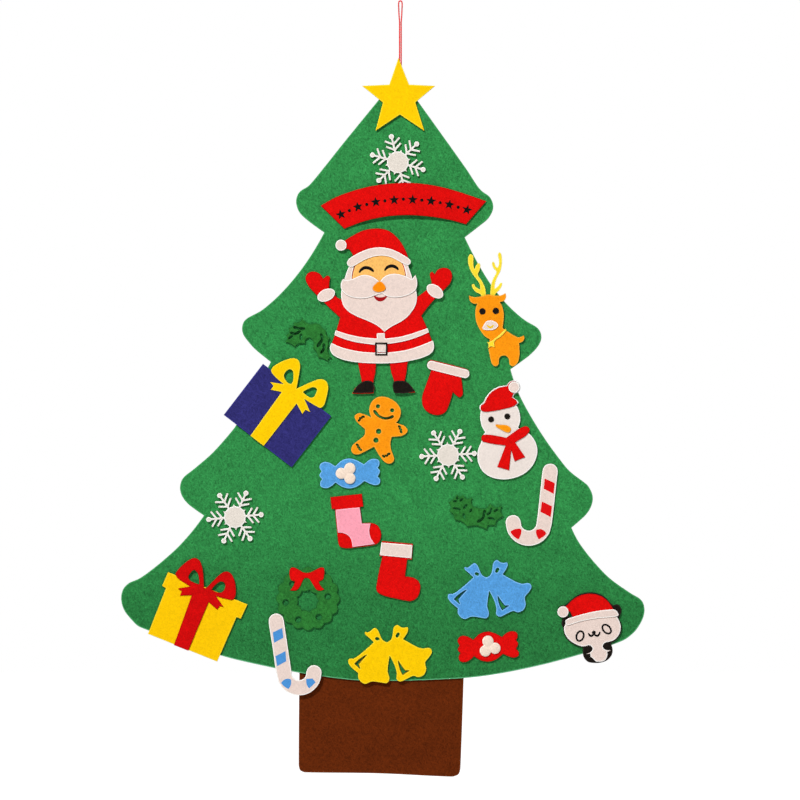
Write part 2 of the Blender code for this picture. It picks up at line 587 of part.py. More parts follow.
REINDEER_PADS_PX = [(489.5, 311), (505, 346.5)]


def build_reindeer(tree):
    reindeer = Ornament("reindeer", (496, 325), tree, ANTLER_PAD)
    reindeer.add("body", ORANGE, REINDEER_BODY_PX, pads=REINDEER_PADS_PX)
    back = PANEL_FRONT - GAP
    antlers = sheet([traced(REINDEER_ANTLERS_PX)], back, PAD_THICKNESS)
    add_node("reindeer_antlers", YELLOW, antlers, reindeer.pivot)
    reindeer.add("muzzle", WHITE, REINDEER_MUZZLE_PX, 1)
    reindeer.add("collar", YELLOW, REINDEER_COLLAR_PX, 1)


# Holly sprigs: two spiky leaves each, with slots for their veins

HOLLY_LEFT_PX = [
    (284.9, 342.1, CORNER), (289.8, 343.3), (294.7, 346.8, CORNER), (298.8, 343.6),
    (305.4, 343.6, CORNER), (305.6, 340), (308.8, 337.8), (312.4, 339.8), (313.9, 343),
    (312.8, 348.2, CORNER), (316.4, 351.6), (318.1, 357.5, CORNER), (323, 358.4),
    (327.8, 361.4, CORNER), (328.8, 358.4), (331.2, 357.2, CORNER), (328.5, 353.4), (327.6, 349.4),
    (328.6, 344.6, CORNER), (328.2, 341.4), (330, 338.2, CORNER), (326.6, 334.8),
    (326, 330.4, CORNER), (322.4, 328), (319.6, 324.4, CORNER), (315.2, 323.4), (310, 324.2),
    (306.2, 322.4), (302.6, 318.6, CORNER), (299.6, 322.2), (294.2, 322.4, CORNER), (293.2, 326.2),
    (288.8, 328.6, CORNER), (289.2, 332.4), (286, 335.4, CORNER), (287.4, 338.6),
]
HOLLY_RIGHT_PX = [
    (456.6, 494.2, CORNER), (453.2, 499.2), (448.4, 502.4, CORNER), (450.8, 506.6),
    (449.6, 511.4, CORNER), (453.4, 514.6), (454.4, 519.8, CORNER), (461.4, 521.4),
    (467.2, 526.4, CORNER), (476.4, 525.6), (486.8, 529.5, CORNER), (488, 525.6),
    (495.4, 525.6, CORNER), (496.2, 521.2), (503.5, 515.6, CORNER), (500.6, 511.4),
    (501.7, 505.4, CORNER), (496.4, 507.6), (490, 503.8, CORNER), (485.4, 508.6), (477.4, 507.6),
    (473.4, 506.8, CORNER), (471.2, 502.4), (472.2, 497.4, CORNER), (466.2, 498.8),
    (463, 494.6, CORNER), (459.8, 496.8),
]
HOLLY_VEIN_PX = 1.7
HOLLIES = {
    "holly_left": (HOLLY_LEFT_PX, (310.5, 331), [
        [(294, 327.1), (299, 328.5), (304, 328.7)], [(291, 332.9), (295.3, 333.9), (299.9, 331.4)],
        [(288.9, 338.4), (292.2, 336.2)], [(301, 334.6), (301, 339.2)],
        [(321.2, 334.4), (322.2, 338.4), (317.8, 346.2)],
        [(323.8, 344.4), (323.9, 348.6), (321.2, 352.6)],
    ]),
    "holly_right": (HOLLY_RIGHT_PX, (473, 516.5), [
        [(453.8, 501), (456.2, 501)], [(457, 497.2), (457.4, 498.9)],
        [(462.4, 499), (460.3, 500.6)], [(466.6, 504.7), (463.9, 508)],
        [(453.6, 508.2), (456.6, 508.4), (459.6, 509.4)], [(463.4, 514), (464.6, 518)],
        [(471.4, 509.4), (470.2, 511.4)], [(484.6, 510.6), (484, 514), (483, 517.6), (478, 521.6)],
        [(491.1, 508.6), (490.4, 511.9), (487.4, 514.3)], [(497.6, 509.2), (494.4, 511)],
        [(488.4, 518), (491.4, 518.2), (494, 519.4)],
    ]),
}


def build_hollies(tree):
    for name, (outline, pad, veins) in HOLLIES.items():
        holly = Ornament(name, pad, tree)
        slots = [band(vein, HOLLY_VEIN_PX, 2) for vein in veins]
        holly.add("", DARK_GREEN, outline, 0, slots, [pad])


# Gifts: a box, and a ribbon whose bow has two open loops

BLUE_BOX_PX = [(263.1, 363.8), (331.3, 416.2), (291.7, 467.2), (223.8, 414.9)]
BLUE_RIBBON_PX = [
    (250.5, 435.8, CORNER), (263.9, 445.9, CORNER), (296.8, 403.6, CORNER), (302.4, 414.1, CORNER),
    (305.7, 409.8, CORNER), (310.4, 412.1, CORNER), (304.5, 398.9, CORNER), (316.3, 406.1),
    (320.7, 407.9), (324, 405.2), (326.5, 397.1), (328.3, 386.4), (326.1, 381.1), (320.7, 379.1),
    (312.7, 381.5), (296.4, 388.9, CORNER), (299.3, 373.9), (300.2, 365), (298.4, 360.1),
    (293.9, 358.3), (286.8, 359.6), (277.9, 363.7), (272.6, 367.7), (271.4, 371.3), (274.3, 375.7),
    (283.9, 384.2, CORNER), (270.3, 382.1, CORNER), (273.6, 386, CORNER), (270.9, 389.8, CORNER),
    (281.9, 392, CORNER),
]
BLUE_BOW_HOLES_PX = [
    [(290.5, 369.3), (286.2, 371.4), (284.1, 375.7), (285.4, 379.6), (290.8, 383.9), (293, 381.1),
     (293.5, 375.7), (293, 371.3)],
    [(303, 392.1, CORNER), (308.2, 388.9), (314.5, 387.3), (317, 389.2), (316.1, 393), (313.6, 397),
     (310.9, 397.6), (307, 395.6)],
]
YELLOW_BOX_PX = [
    (168.3, 571.9), (247.6, 604.3), (240.9, 618.6), (236.6, 617.1), (217.3, 661.5), (148.1, 633.7),
    (166.1, 588.1), (162.2, 585.8),
]
YELLOW_RIBBON_PX = [
    (174.2, 644.8, CORNER), (192, 595.1, CORNER), (180.2, 595.4, CORNER), (182.1, 591.2, CORNER),
    (178.1, 588.3, CORNER), (190.6, 586.2, CORNER), (183.1, 581.6), (178.1, 578.1), (175.8, 574),
    (178.1, 569.9), (184.7, 563.2), (191.4, 558.7), (195.5, 557.8), (199.7, 560.3), (202.1, 565.7),
    (203.4, 573.2), (204.2, 587.9, CORNER), (206.5, 587.5, CORNER), (215.4, 578.6), (222.9, 572.3),
    (227, 571.3), (231.2, 573.4), (234.5, 579.8), (236, 589.8), (235.3, 596.4), (232.8, 599.7),
    (227.8, 598.9), (216.2, 596, CORNER), (223.7, 606.7, CORNER), (219.8, 605.9, CORNER),
    (217.5, 609.5, CORNER), (208.9, 602, CORNER), (188.6, 650.5, CORNER),
]
YELLOW_BOW_HOLES_PX = [
    [(188.7, 577.4), (190.9, 572.4), (194.3, 569.9), (197.6, 572.5), (199.2, 577.4), (199.4, 584.2,
     CORNER), (191.4, 580.9)],
    [(211.7, 589.4, CORNER), (217.9, 582.8), (222, 581.3), (224.9, 583.1), (225.2, 587.3),
     (222.9, 591.4), (219.1, 592.5)],
]


def build_gifts(tree):
    blue = Ornament("blue_gift", (277.5, 415.5), tree)
    pads = [(276, 385), (306, 408), (290, 447), (250, 412)]
    blue.add("box", NAVY, square(BLUE_BOX_PX), pads=pads)
    blue.add("ribbon", YELLOW, BLUE_RIBBON_PX, 1, BLUE_BOW_HOLES_PX)
    yellow = Ornament("yellow_gift", (198, 617), tree)
    pads = [(176, 590), (228, 608), (212, 645), (163, 628)]
    yellow.add("box", GOLD, square(YELLOW_BOX_PX), pads=pads)
    yellow.add("ribbon", DEEP_RED, YELLOW_RIBBON_PX, 1, YELLOW_BOW_HOLES_PX)


# Gingerbread figure, mitten and snowman

GINGERBREAD_PX = [
    (371.2, 417.4, CORNER), (369.2, 411), (369.8, 406), (372, 401.5), (376, 398), (381.5, 396.5),
    (387, 397.3), (393, 400), (397.5, 404), (400.3, 408.6), (400.9, 413), (399.6, 418),
    (396, 422.9, CORNER), (405.7, 426.9), (407.6, 431), (403.7, 435.1), (391.9, 436.9, CORNER),
    (390.6, 442.5), (391, 448.5), (393.2, 455), (394.2, 459.6), (392.4, 462.6), (388.6, 463.7),
    (384.3, 461.6), (380.6, 457.4), (377.1, 451.4), (374.1, 446.8, CORNER), (365, 451.4),
    (357.8, 454.5), (353.4, 453.6), (351.2, 450), (352.4, 445.6), (358, 440.6), (364.4, 435.1),
    (364.9, 429, CORNER), (356.2, 420.8), (354.7, 416.2), (358.3, 413.2), (364, 414.2),
]
GINGERBREAD_HOLES_PX = [
    ((378, 406.3), 2), ((392.2, 410.3), 2), ((378.7, 431.4), 2.6), ((376, 440.2), 2.6),
]
GINGERBREAD_SMILE_PX = [(374.4, 411), (378.6, 415.8), (384, 418.2), (388.6, 418), (392.8, 416.4)]
GINGERBREAD_SMILE_WIDTH_PX, GINGERBREAD_SLIT_PX = 2.0, 1.9
GINGERBREAD_SLITS_PX = [
    [(358.7, 420.7), (360, 419.5), (360.1, 418), (361.6, 418.2), (362.2, 416.7), (363.9, 416.8)],
    [(398.8, 426.2), (400.1, 427.2), (399.8, 428.8), (401.2, 429.5), (400.6, 431), (401.5, 432.3)],
    [(356.8, 444.5), (358.1, 445.4), (357.8, 446.9), (359.3, 447.4), (359.6, 448.9), (361.2, 450)],
    [(383, 455.6), (384.3, 456.8), (385.4, 455.4), (386.9, 456), (387.8, 454.4), (389.6, 453.7)],
]
MITTEN_PX = [
    (431.5, 370, CORNER), (428.6, 368.9, CORNER), (427.4, 366), (427.9, 362.2),
    (431, 359.9, CORNER), (466.4, 369, CORNER), (469.2, 371.6), (469, 375.6), (466, 378.2, CORNER),
    (461.2, 377.4, CORNER), (462.8, 391.5), (462.6, 394.8), (459.7, 397.3), (456.9, 395.9),
    (452.9, 392, CORNER), (448.7, 405.5), (445.4, 412), (438.7, 415.1), (430.1, 413.4),
    (423.6, 407.6), (422, 397.8), (425.3, 387.3),
]
MITTEN_CUFF_PX = [(431.5, 365.3), (434.5, 366.1), (448, 369.5), (462, 373), (465, 373.8)]
MITTEN_CUFF_WIDTH_PX = 8.8
SNOWMAN_BODY_PX = [
    (485.2, 432.2, CORNER), (482.4, 436.4), (481.2, 441.8), (478.7, 447.4), (477.3, 455.6),
    (478.9, 464.9), (483.4, 472.1), (490, 476.7), (498, 479), (506.9, 479.3), (516.7, 477.2),
    (525.6, 472.7), (532.2, 466), (536.1, 458.2), (537.4, 450.4), (536.3, 444.3), (533.1, 438),
    (529, 433.6), (524.6, 431.4), (518.2, 427.6, CORNER), (519.9, 422.8), (520.2, 416.8),
    (518.9, 410.4), (516.2, 405.2, CORNER), (518.4, 402.6), (515.8, 399.2), (513, 397.2, CORNER),
    (514.6, 394.2), (518.6, 392), (520.2, 388), (519.4, 383.6), (516, 380.8), (511.6, 380.7),
    (508.2, 383), (506.6, 385.4, CORNER), (499.9, 386.2), (491.9, 390.2), (485.9, 397),
    (483.2, 402.2, CORNER), (480.2, 405), (479.4, 408.4), (480.9, 410.6, CORNER), (480.1, 416),
    (481, 423.8), (482.9, 428.8),
]
SNOWMAN_HAT_PX = [
    (480.4, 408.2), (481.3, 405.4), (484.4, 403, CORNER), (486.9, 397.8), (492.5, 391.3),
    (499.9, 387.5), (507, 386.1, CORNER), (508.8, 383.3), (511.8, 381.4), (515.2, 381.5),
    (517.8, 383.6), (518.6, 387), (517.2, 390.2), (514.4, 391.9), (513, 394.2),
    (511.9, 397.8, CORNER), (515.4, 399.6), (517.1, 402.6), (515.2, 405.2), (505.7, 408.5),
    (494.2, 410.9), (484.6, 411.8), (481.4, 410.8),
]
SNOWMAN_SCARF_PX = [
    (481.3, 438), (482.2, 435.4), (485.6, 434.6), (506.1, 437.8, CORNER), (521.9, 427.2),
    (526.2, 426.2), (529.4, 429), (528.1, 433.2), (515.2, 442.3, CORNER), (525.1, 457.1, CORNER),
    (514.5, 461.3, CORNER), (511.1, 450.2, CORNER), (509, 470.3, CORNER), (497.1, 466.9, CORNER),
    (505.5, 445.5, CORNER), (484.6, 442.1), (481.9, 440.8),
]
SNOWMAN_NOSE_PX = [
    (495.3, 425), (499.9, 424.7), (507.6, 425.6), (510.9, 428.9), (509.3, 432.3), (505.4, 432),
    (499.9, 429), (496, 426.6),
]


def build_gingerbread(tree):
    figure = Ornament("gingerbread", (381, 431), tree)
    holes = [disc(centre, radius) for centre, radius in GINGERBREAD_HOLES_PX]
    holes.append(band(GINGERBREAD_SMILE_PX, GINGERBREAD_SMILE_WIDTH_PX, 2))
    holes += [square(band(slit, GINGERBREAD_SLIT_PX, 2)) for slit in GINGERBREAD_SLITS_PX]
    figure.add("", ORANGE, GINGERBREAD_PX, 0, holes, [(385, 411.5), (385.4, 445)])


def build_mitten(tree):
    mitten = Ornament("mitten", (441, 390), tree)
    mitten.add("hand", RED, MITTEN_PX, pads=[(443, 373), (437, 402)])
    mitten.add("cuff", WHITE, band(MITTEN_CUFF_PX, MITTEN_CUFF_WIDTH_PX), 1)


def build_snowman(tree):
    snowman = Ornament("snowman", (507, 432), tree)
    pads = [(498, 402), (507, 428), (494, 458), (521, 458)]
    snowman.add("body", WHITE, SNOWMAN_BODY_PX, pads=pads)
    snowman.add("hat", RED, SNOWMAN_HAT_PX, 1)
    snowman.add("pompom", WHITE, disc((513.9, 387.2), POMPOM_PX), 2)
    snowman.add("scarf", RED, SNOWMAN_SCARF_PX, 1)
    snowman.add("nose", ORANGE, SNOWMAN_NOSE_PX, 1)


# Wrapped candies, about their own middle, each with three round dots

CANDY_PX = [
    (-14.3, -7.1, CORNER), (-7.5, -13), (0, -14.9), (7.5, -12.9), (14.4, -9, CORNER), (20.1, -13.6),
    (24.7, -14.6), (29.2, -13), (29.9, -8.6), (28.1, -5.8, CORNER), (30.4, -2.3),
    (28.1, 3.1, CORNER), (30.7, 6.3), (29.9, 10.3), (25.8, 11.8), (20.1, 10.3), (14.9, 7.7, CORNER),
    (7.5, 13.2), (0, 15.1), (-7.5, 13.5), (-14.1, 9.2, CORNER), (-17.8, 12.6), (-23.5, 14.9),
    (-28.7, 13.2), (-29.3, 9.2), (-27.5, 5.7, CORNER), (-30.1, 2.3), (-28.1, -1.8, CORNER),
    (-30.1, -6.3), (-28.7, -9.8), (-24.7, -11.5), (-19.5, -10.3),
]
CANDY_DOT_PX, CANDY_DOTS_APART_PX = 5.7, 5.7  # a dot's radius, and its place from their middle
CANDIES = {
    "blue_candy": ((349.6, 473.3), 0.0, (347.1, 473.3), -60, BLUE),
    "red_candy": ((487.8, 646.4), -1.7, (489.3, 646.5), -105, RED),
}


def dots_outline(centre, start):
    """Three touching discs as one outline."""
    apart, radius = CANDY_DOTS_APART_PX, CANDY_DOT_PX
    meet = apart / 2 + math.sqrt(radius**2 - 0.75 * apart**2)  # where two discs' edges cross
    sweep = 180 - math.degrees(math.acos((apart - meet / 2) / radius))
    outline = []
    for i in range(3):
        toward = start + 120 * i
        x, y = (apart * f(math.radians(toward)) for f in (math.cos, math.sin))
        outline += arc((centre[0] + x, centre[1] + y), radius, toward - sweep, toward + sweep)[:-1]
    return outline


def build_candies(tree):
    for name, (centre, turn, dots, start, colour) in CANDIES.items():
        candy = Ornament(name, centre, tree)
        candy.add("wrapper", colour, moved(CANDY_PX, centre, turn), pads=[centre])
        candy.add("dots", WHITE, dots_outline(dots, start), 1)


# Stockings

PINK_STOCKING_PX = [
    (330.4, 497.1, CORNER), (361.9, 493.7, CORNER), (363.4, 506.6, CORNER), (360.2, 506.9, CORNER),
    (362.3, 523.2, CORNER), (371.4, 522.9), (377.7, 525.6), (380.8, 531.8), (380.8, 538),
    (377.6, 543.4), (373.6, 545), (360, 546.8), (345.4, 548.1), (339.8, 546.2),
    (338.1, 541, CORNER), (335, 508.9, CORNER), (331.8, 509.2, CORNER),
]
PINK_TOP_PX = [
    (335.6, 509.6, CORNER), (359.8, 507.2, CORNER), (361.9, 523.5, CORNER), (370.8, 523.3, CORNER),
    (369.4, 530.7), (370.8, 537.6), (375, 543.8, CORNER), (352.5, 547, CORNER), (351.8, 541.4),
    (349, 536.1), (343.5, 533), (337.9, 532.6, CORNER),
]
RED_STOCKING_PX = [
    (382.2, 540.9, CORNER), (413, 543.8, CORNER), (411.8, 559.6, CORNER), (407.3, 559.2, CORNER),
    (405, 576.6, CORNER), (413.2, 577.6), (419.1, 581.9), (420.3, 588.1), (417, 597.6),
    (411, 600.9), (400.7, 599.4), (381.2, 594.4), (377.2, 591.6), (376.2, 587, CORNER),
    (382.4, 556.5, CORNER), (379.4, 555.9, CORNER),
]
RED_STOCKING_CUFF_PX = [(381.4, 542.3), (412.4, 544.9), (411.4, 558.1), (379.8, 555)]


def build_stockings(tree):
    pink = Ornament("pink_stocking", (354, 520), tree)
    pink.add("base", RED, PINK_STOCKING_PX, pads=[(347, 505), (352, 535)])
    pink.add("leg", PINK, PINK_TOP_PX, 1)
    red = Ornament("red_stocking", (397, 570), tree)
    red.add("base", RED, RED_STOCKING_PX, pads=[(396, 552), (395, 586)])
    red.add("cuff", WHITE, square(RED_STOCKING_CUFF_PX), 1)


# Canes, bells and the wreath

CANES_PX = {  # the stem's round top, the middle of the bend, its radius, which way the hook goes
    "red_cane": ((550.1, 471.2), (528.6, 522.6), 15.5, -1),
    "blue_cane": ((276.3, 621.0), (299.1, 672.6), 15.0, 1),
}
CANE_WIDTH_PX = 15.2
CANE_PADS_PX = {"red_cane": [(549, 480), (545.4, 513)], "blue_cane": [(278, 633), (281.5, 656)]}

BELLS_PX = [
    (-16.6, -15.1, CORNER), (-30.6, -3), (-37, 1.1), (-41.1, 1.4), (-42.2, 4.4), (-40.2, 8.5),
    (-32.3, 15.5, CORNER), (-31.6, 21.8), (-25.6, 26.4), (-18.5, 24.1, CORNER), (-10, 25),
    (-3.2, 25.4), (-1, 22), (-2.6, 13.6), (-1.6, 4), (-0.7, -1.7, CORNER), (4.6, 9), (6.3, 16),
    (6.2, 21.6), (9.5, 24.1), (15, 22.2), (22.9, 18.5, CORNER), (28.4, 19.6), (33.6, 17.2),
    (35.8, 12), (35, 4.7, CORNER), (39.6, -1.6), (41.6, -6), (39.8, -9.1), (31.2, -9.1),
    (12.7, -18.3, CORNER), (16, -23.2), (17.8, -27.6), (17, -30.2), (14.2, -29.8), (10.6, -30.4),
    (6.8, -32.6), (3.4, -30), (2.4, -24), (0.6, -18), (-3.2, -15.1, CORNER), (-7.6, -17.4),
    (-10.4, -22.6), (-12.4, -27.2), (-15.6, -29.6), (-19, -27.2), (-22.6, -25), (-25.4, -25.5),
    (-25.2, -23.2), (-21.2, -19.6),
]
BELL_SLOTS_PX = [
    [(-23.4, -2.8, CORNER), (-31.4, 2), (-35.8, 6.4, CORNER), (-30.2, 11.4, CORNER),
     (-31.8, 6.8, CORNER), (-28.6, 3)],
    [(7.8, 3.2, CORNER), (9.4, 11.4), (12.4, 17.4, CORNER), (19, 13, CORNER), (15.1, 13.1, CORNER),
     (12, 9.4)],
]
BELL_HOLES_PX = [((-13, -18.7), (2.3, 1.6), 20), ((7.3, -22.4), (2.8, 1.7), -60)]
BELLS = {"blue_bells": ((489.9, 592.5), BLUE), "yellow_bells": ((390.4, 657.3), YELLOW)}
BELL_PADS_PX = [(-16, 8), (20, 2)]

WREATH_CENTRE_PX, WREATH_HOLE_PX = (308.0, 598.5), (307.7, 600.8)
WREATH_BUMPS, WREATH_CUSP_PX, WREATH_BUMP_PX, WREATH_TURN = 16, 29.3, 2.6, 11.25
WREATH_INNER_BUMPS, WREATH_INNER_CUSP_PX, WREATH_INNER_BUMP_PX = 9, 11.4, 1.7
WREATH_BERRIES_PX = [(285.8, 602.4), (298.3, 619.4), (318.8, 617), (327.8, 596.4), (292.4, 583.8)]
WREATH_BERRY_PX = 3.1
WREATH_PADS_PX = [(287.5, 591), (308.5, 622), (325.5, 607)]
WREATH_BOW_PX = [
    (289.5, 573), (290.6, 568.2), (293, 567.2), (297.8, 568.9), (303.6, 572.3), (309.3, 572.4),
    (316, 569.4), (321.3, 567.2), (324, 568), (324.3, 573), (322.9, 579.4), (318.9, 581.2, CORNER),
    (320.5, 585.2), (324.4, 589.2, CORNER), (320.8, 590.4), (317, 589.7), (313.6, 585.4),
    (309.3, 578.7), (306.9, 577.6), (304.5, 578.2), (300.7, 585.4), (296.9, 589.9),
    (290.2, 590.2, CORNER), (293.6, 585.4), (295, 581.2, CORNER), (291.1, 579.7),
]


STEM_SHARES = [0, 0.1, 0.5]  # of the stem, from its round top


def cane_path(top, middle, radius, way):
    """Down the straight stem and round the bend to the hook's end."""
    bend = arc(middle, radius, 90 + 90 * way, 90 - 90 * way, 6)
    start, run = Vector(top), Vector(bend[0][:2]) - Vector(top)
    return [start + run * share for share in STEM_SHARES] + [p[:2] for p in bend]


def build_canes(tree):
    for name, shape in CANES_PX.items():
        cane = Ornament(name, CANE_PADS_PX[name][0], tree)
        cane.add("", WHITE, band(cane_path(*shape), CANE_WIDTH_PX), pads=CANE_PADS_PX[name])


def build_bells(tree):
    for name, (centre, colour) in BELLS.items():
        bells = Ornament(name, centre, tree)
        holes = [moved(slot, centre) for slot in BELL_SLOTS_PX]
        holes += [moved(oval(middle, *half, turn), centre) for middle, half, turn in BELL_HOLES_PX]
        bells.add("", colour, moved(BELLS_PX, centre), 0, holes, moved(BELL_PADS_PX, centre))


BUMP_SHARES = [(0.25, 0.72), (0.5, 1), (0.75, 0.72)]  # of a bump's width, and of its height


def scallops(centre, count, cusp, bump, turn=0.0):
    """A ring of round bumps with a sharp cusp between each two."""
    points = []
    for i in range(count):
        for part, reach in [(0, 0), *BUMP_SHARES]:
            angle = 2 * math.pi * (i + part) / count
            x, y = ((cusp + bump * reach) * f(angle) for f in (math.cos, math.sin))
            points.append((x, y) if part else (x, y, CORNER))
    return moved(points, centre, turn)


def build_wreath(tree):
    wreath = Ornament("wreath", WREATH_CENTRE_PX, tree)
    ring = scallops(WREATH_CENTRE_PX, WREATH_BUMPS, WREATH_CUSP_PX, WREATH_BUMP_PX, WREATH_TURN)
    bumps = (WREATH_INNER_BUMPS, WREATH_INNER_CUSP_PX, -WREATH_INNER_BUMP_PX)
    inner = scallops(WREATH_HOLE_PX, *bumps)
    holes = [inner] + [disc(place, WREATH_BERRY_PX) for place in WREATH_BERRIES_PX]
    wreath.add("ring", DARK_GREEN, ring, 0, holes, WREATH_PADS_PX)
    wreath.add("bow", RED, WREATH_BOW_PX, 1)


# Panda: black ears, arms and feet show round the white sheet

PANDA_BASE_PX = [
    (564.8, 605, CORNER), (570.4, 600.2), (578.2, 594.8), (585.9, 592.6), (591.3, 592.2),
    (598.2, 593.5), (605.4, 597.2), (610.8, 603.4), (613.4, 605.2, CORNER), (617, 604.2),
    (620.2, 606.6), (621.3, 610.4), (620.2, 614.6), (618.4, 618.4, CORNER), (620.6, 622),
    (621.6, 628.2), (619.6, 635.4), (614.2, 641.2), (610.6, 643, CORNER), (612.2, 647.6),
    (612.4, 652), (610.9, 656), (607, 660), (600.5, 662.4), (592, 662.6), (587.4, 661.4),
    (584, 657.6), (582.6, 652.5), (583, 647.4, CORNER), (576.4, 645.4), (569.4, 641.2),
    (564.2, 634.8), (562.9, 628, CORNER), (561.6, 624.8), (561.8, 620.8), (563.4, 617.8, CORNER),
    (560.2, 616.7), (557.6, 613.8), (557.2, 610.2), (558.9, 606.9), (561.8, 605.2),
]
PANDA_NOTCH_PX = [  # a gap in the black sheet between the pompom and the hat
    (568.9, 612.6), (570.2, 612.8), (570.7, 614.4), (570.6, 616.4), (569.4, 616.9),
    (568.2, 616.1), (568.5, 614.3),
]
PANDA_HAT_PX = [
    (565.6, 605.9, CORNER), (571.2, 600.7), (578.4, 595.9), (585.9, 593.8), (591.3, 593.5),
    (598, 594.8), (604.8, 598.4), (610, 604), (613.4, 609.6, CORNER), (612, 612, CORNER),
    (593, 614, CORNER), (573.4, 619.4, CORNER), (571.5, 614.4), (569.5, 610.9, CORNER),
    (568.1, 611.9, CORNER), (567, 613.8), (565.2, 615), (562.9, 615.3), (560.7, 614.3),
    (559.4, 612.4), (559.3, 610.1), (560.5, 608.1), (562.6, 607), (564.2, 606.6),
]
PANDA_HEAD_PX = [
    (566.4, 622.4, CORNER), (573.4, 621.4, CORNER), (593, 616, CORNER), (612, 614, CORNER),
    (616, 616, CORNER), (619.3, 621.4), (620.4, 628.2), (618.4, 634.8), (613.2, 640),
    (607.2, 641.6), (603.6, 643.4), (602.6, 646.6), (604.8, 649.2), (611, 649.9, CORNER),
    (606.8, 651.6, CORNER), (607.2, 654.6, CORNER), (605.2, 659.4), (600.5, 661.4),
    (595.4, 661, CORNER), (593, 658.4), (590.2, 656.4, CORNER), (590.2, 653.4, CORNER),
    (585.9, 653.6, CORNER), (590.8, 651.4), (592.4, 648.2), (589.7, 645.2), (583.4, 646.2),
    (576.7, 644.4), (569.9, 640.2), (565.1, 634.2), (563.9, 627),
]
PANDA_HAT_BAND_PX = [
    (565.3, 622.8), (565.1, 620.6), (566.8, 618.7), (574.4, 616.1), (585.9, 612.8), (597.4, 610.5),
    (607.3, 609.3), (614.6, 609.4), (617.3, 612.1), (618.1, 615), (615.4, 616.2), (605.8, 617.1),
    (593.6, 618.5), (581.3, 620.9), (570.6, 624), (566.8, 624.9),
]
PANDA_POMPOM_PX = (562.7, 611.5)
PANDA_PADS_PX = [(590, 603), (580, 630), (606, 628)]


def build_panda(tree):
    panda = Ornament("panda", (592, 625), tree)
    panda.add("base", BLACK, PANDA_BASE_PX, 0, [PANDA_NOTCH_PX], PANDA_PADS_PX)
    panda.add("hat", RED, PANDA_HAT_PX, 1)
    panda.add("head", WHITE, PANDA_HEAD_PX, 1)
    panda.add("hat_band", WHITE, PANDA_HAT_BAND_PX, 2)
    panda.add("pompom", WHITE, disc(PANDA_POMPOM_PX, POMPOM_PX), 2)


def main():
    clear_scene()
    hanger = pivot("hanger_pivot", (0, 0, 0))
    build_cord(hanger)
    tree = pivot("tree_pivot", (0, PANEL_FRONT, -HANG_DROP), hanger)
    build_panel(tree)
    for build in (
        build_star, build_snowflakes, build_banner, build_santa, build_reindeer, build_hollies,
        build_gifts, build_gingerbread, build_mitten, build_snowman, build_candies,
        build_stockings, build_canes, build_bells, build_wreath, build_panda,
    ):
        build(tree)


main()
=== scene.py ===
"""The looks of a felt Christmas tree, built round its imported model.

Every felt sheet is cut again along its own outline, with a soft edge, a slight wave and the
fibres of needle-punched felt. The cord is twisted from two plies and tied behind the panel.
Metres, +Z up, the front faces -Y. Points are pixels of the photograph, x right and y down.
"""

import json
import math

import bpy
import numpy as np
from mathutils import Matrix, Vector, noise
from mathutils.geometry import delaunay_2d_cdt, interpolate_bezier

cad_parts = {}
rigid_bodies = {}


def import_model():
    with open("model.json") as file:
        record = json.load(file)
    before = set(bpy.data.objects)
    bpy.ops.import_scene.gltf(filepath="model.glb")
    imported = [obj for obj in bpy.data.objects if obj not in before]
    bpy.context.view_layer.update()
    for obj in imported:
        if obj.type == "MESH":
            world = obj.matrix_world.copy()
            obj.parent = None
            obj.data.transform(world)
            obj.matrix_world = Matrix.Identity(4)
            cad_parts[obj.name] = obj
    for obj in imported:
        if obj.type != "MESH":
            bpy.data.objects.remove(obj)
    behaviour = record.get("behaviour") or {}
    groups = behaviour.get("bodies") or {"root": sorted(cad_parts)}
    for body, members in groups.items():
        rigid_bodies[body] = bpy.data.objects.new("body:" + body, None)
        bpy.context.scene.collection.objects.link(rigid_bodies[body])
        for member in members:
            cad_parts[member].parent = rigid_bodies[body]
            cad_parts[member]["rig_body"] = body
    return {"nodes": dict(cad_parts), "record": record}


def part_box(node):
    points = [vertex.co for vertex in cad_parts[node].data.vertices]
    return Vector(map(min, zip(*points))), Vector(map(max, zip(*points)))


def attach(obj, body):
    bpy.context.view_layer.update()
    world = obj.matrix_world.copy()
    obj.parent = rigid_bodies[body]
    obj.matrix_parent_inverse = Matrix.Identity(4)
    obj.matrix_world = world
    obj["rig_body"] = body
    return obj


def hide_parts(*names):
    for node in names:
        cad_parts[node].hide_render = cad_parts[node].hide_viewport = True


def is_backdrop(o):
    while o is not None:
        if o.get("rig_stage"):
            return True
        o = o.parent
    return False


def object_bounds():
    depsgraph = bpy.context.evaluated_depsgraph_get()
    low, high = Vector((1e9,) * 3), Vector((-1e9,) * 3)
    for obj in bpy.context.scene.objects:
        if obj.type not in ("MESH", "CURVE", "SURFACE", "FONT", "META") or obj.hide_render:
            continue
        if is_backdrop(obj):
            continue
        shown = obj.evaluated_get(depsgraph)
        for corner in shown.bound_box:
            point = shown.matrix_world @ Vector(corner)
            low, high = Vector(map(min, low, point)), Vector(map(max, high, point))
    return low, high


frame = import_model()
cad_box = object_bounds()

MM = 0.001

# The photograph's framing
TREE_WIDTH = 0.700
TREE_WIDTH_PX = 523.5
PX = TREE_WIDTH / TREE_WIDTH_PX
HOLE_PX = (400.4, 86.0)
HANG_DROP = 0.113
PHOTO_PX = 800
CAMERA_DISTANCE = 3.0

# Felt and cord
BASE_FELT = 2.0 * MM
PRINT_DEPTH = 0.15 * MM  # how far an ink film stands on its felt
EYE_FELT = 0.7 * MM  # a stuck-on button eye
PAD_RADIUS = 6.0 * MM
CORD_DIAMETER = 1.6 * MM


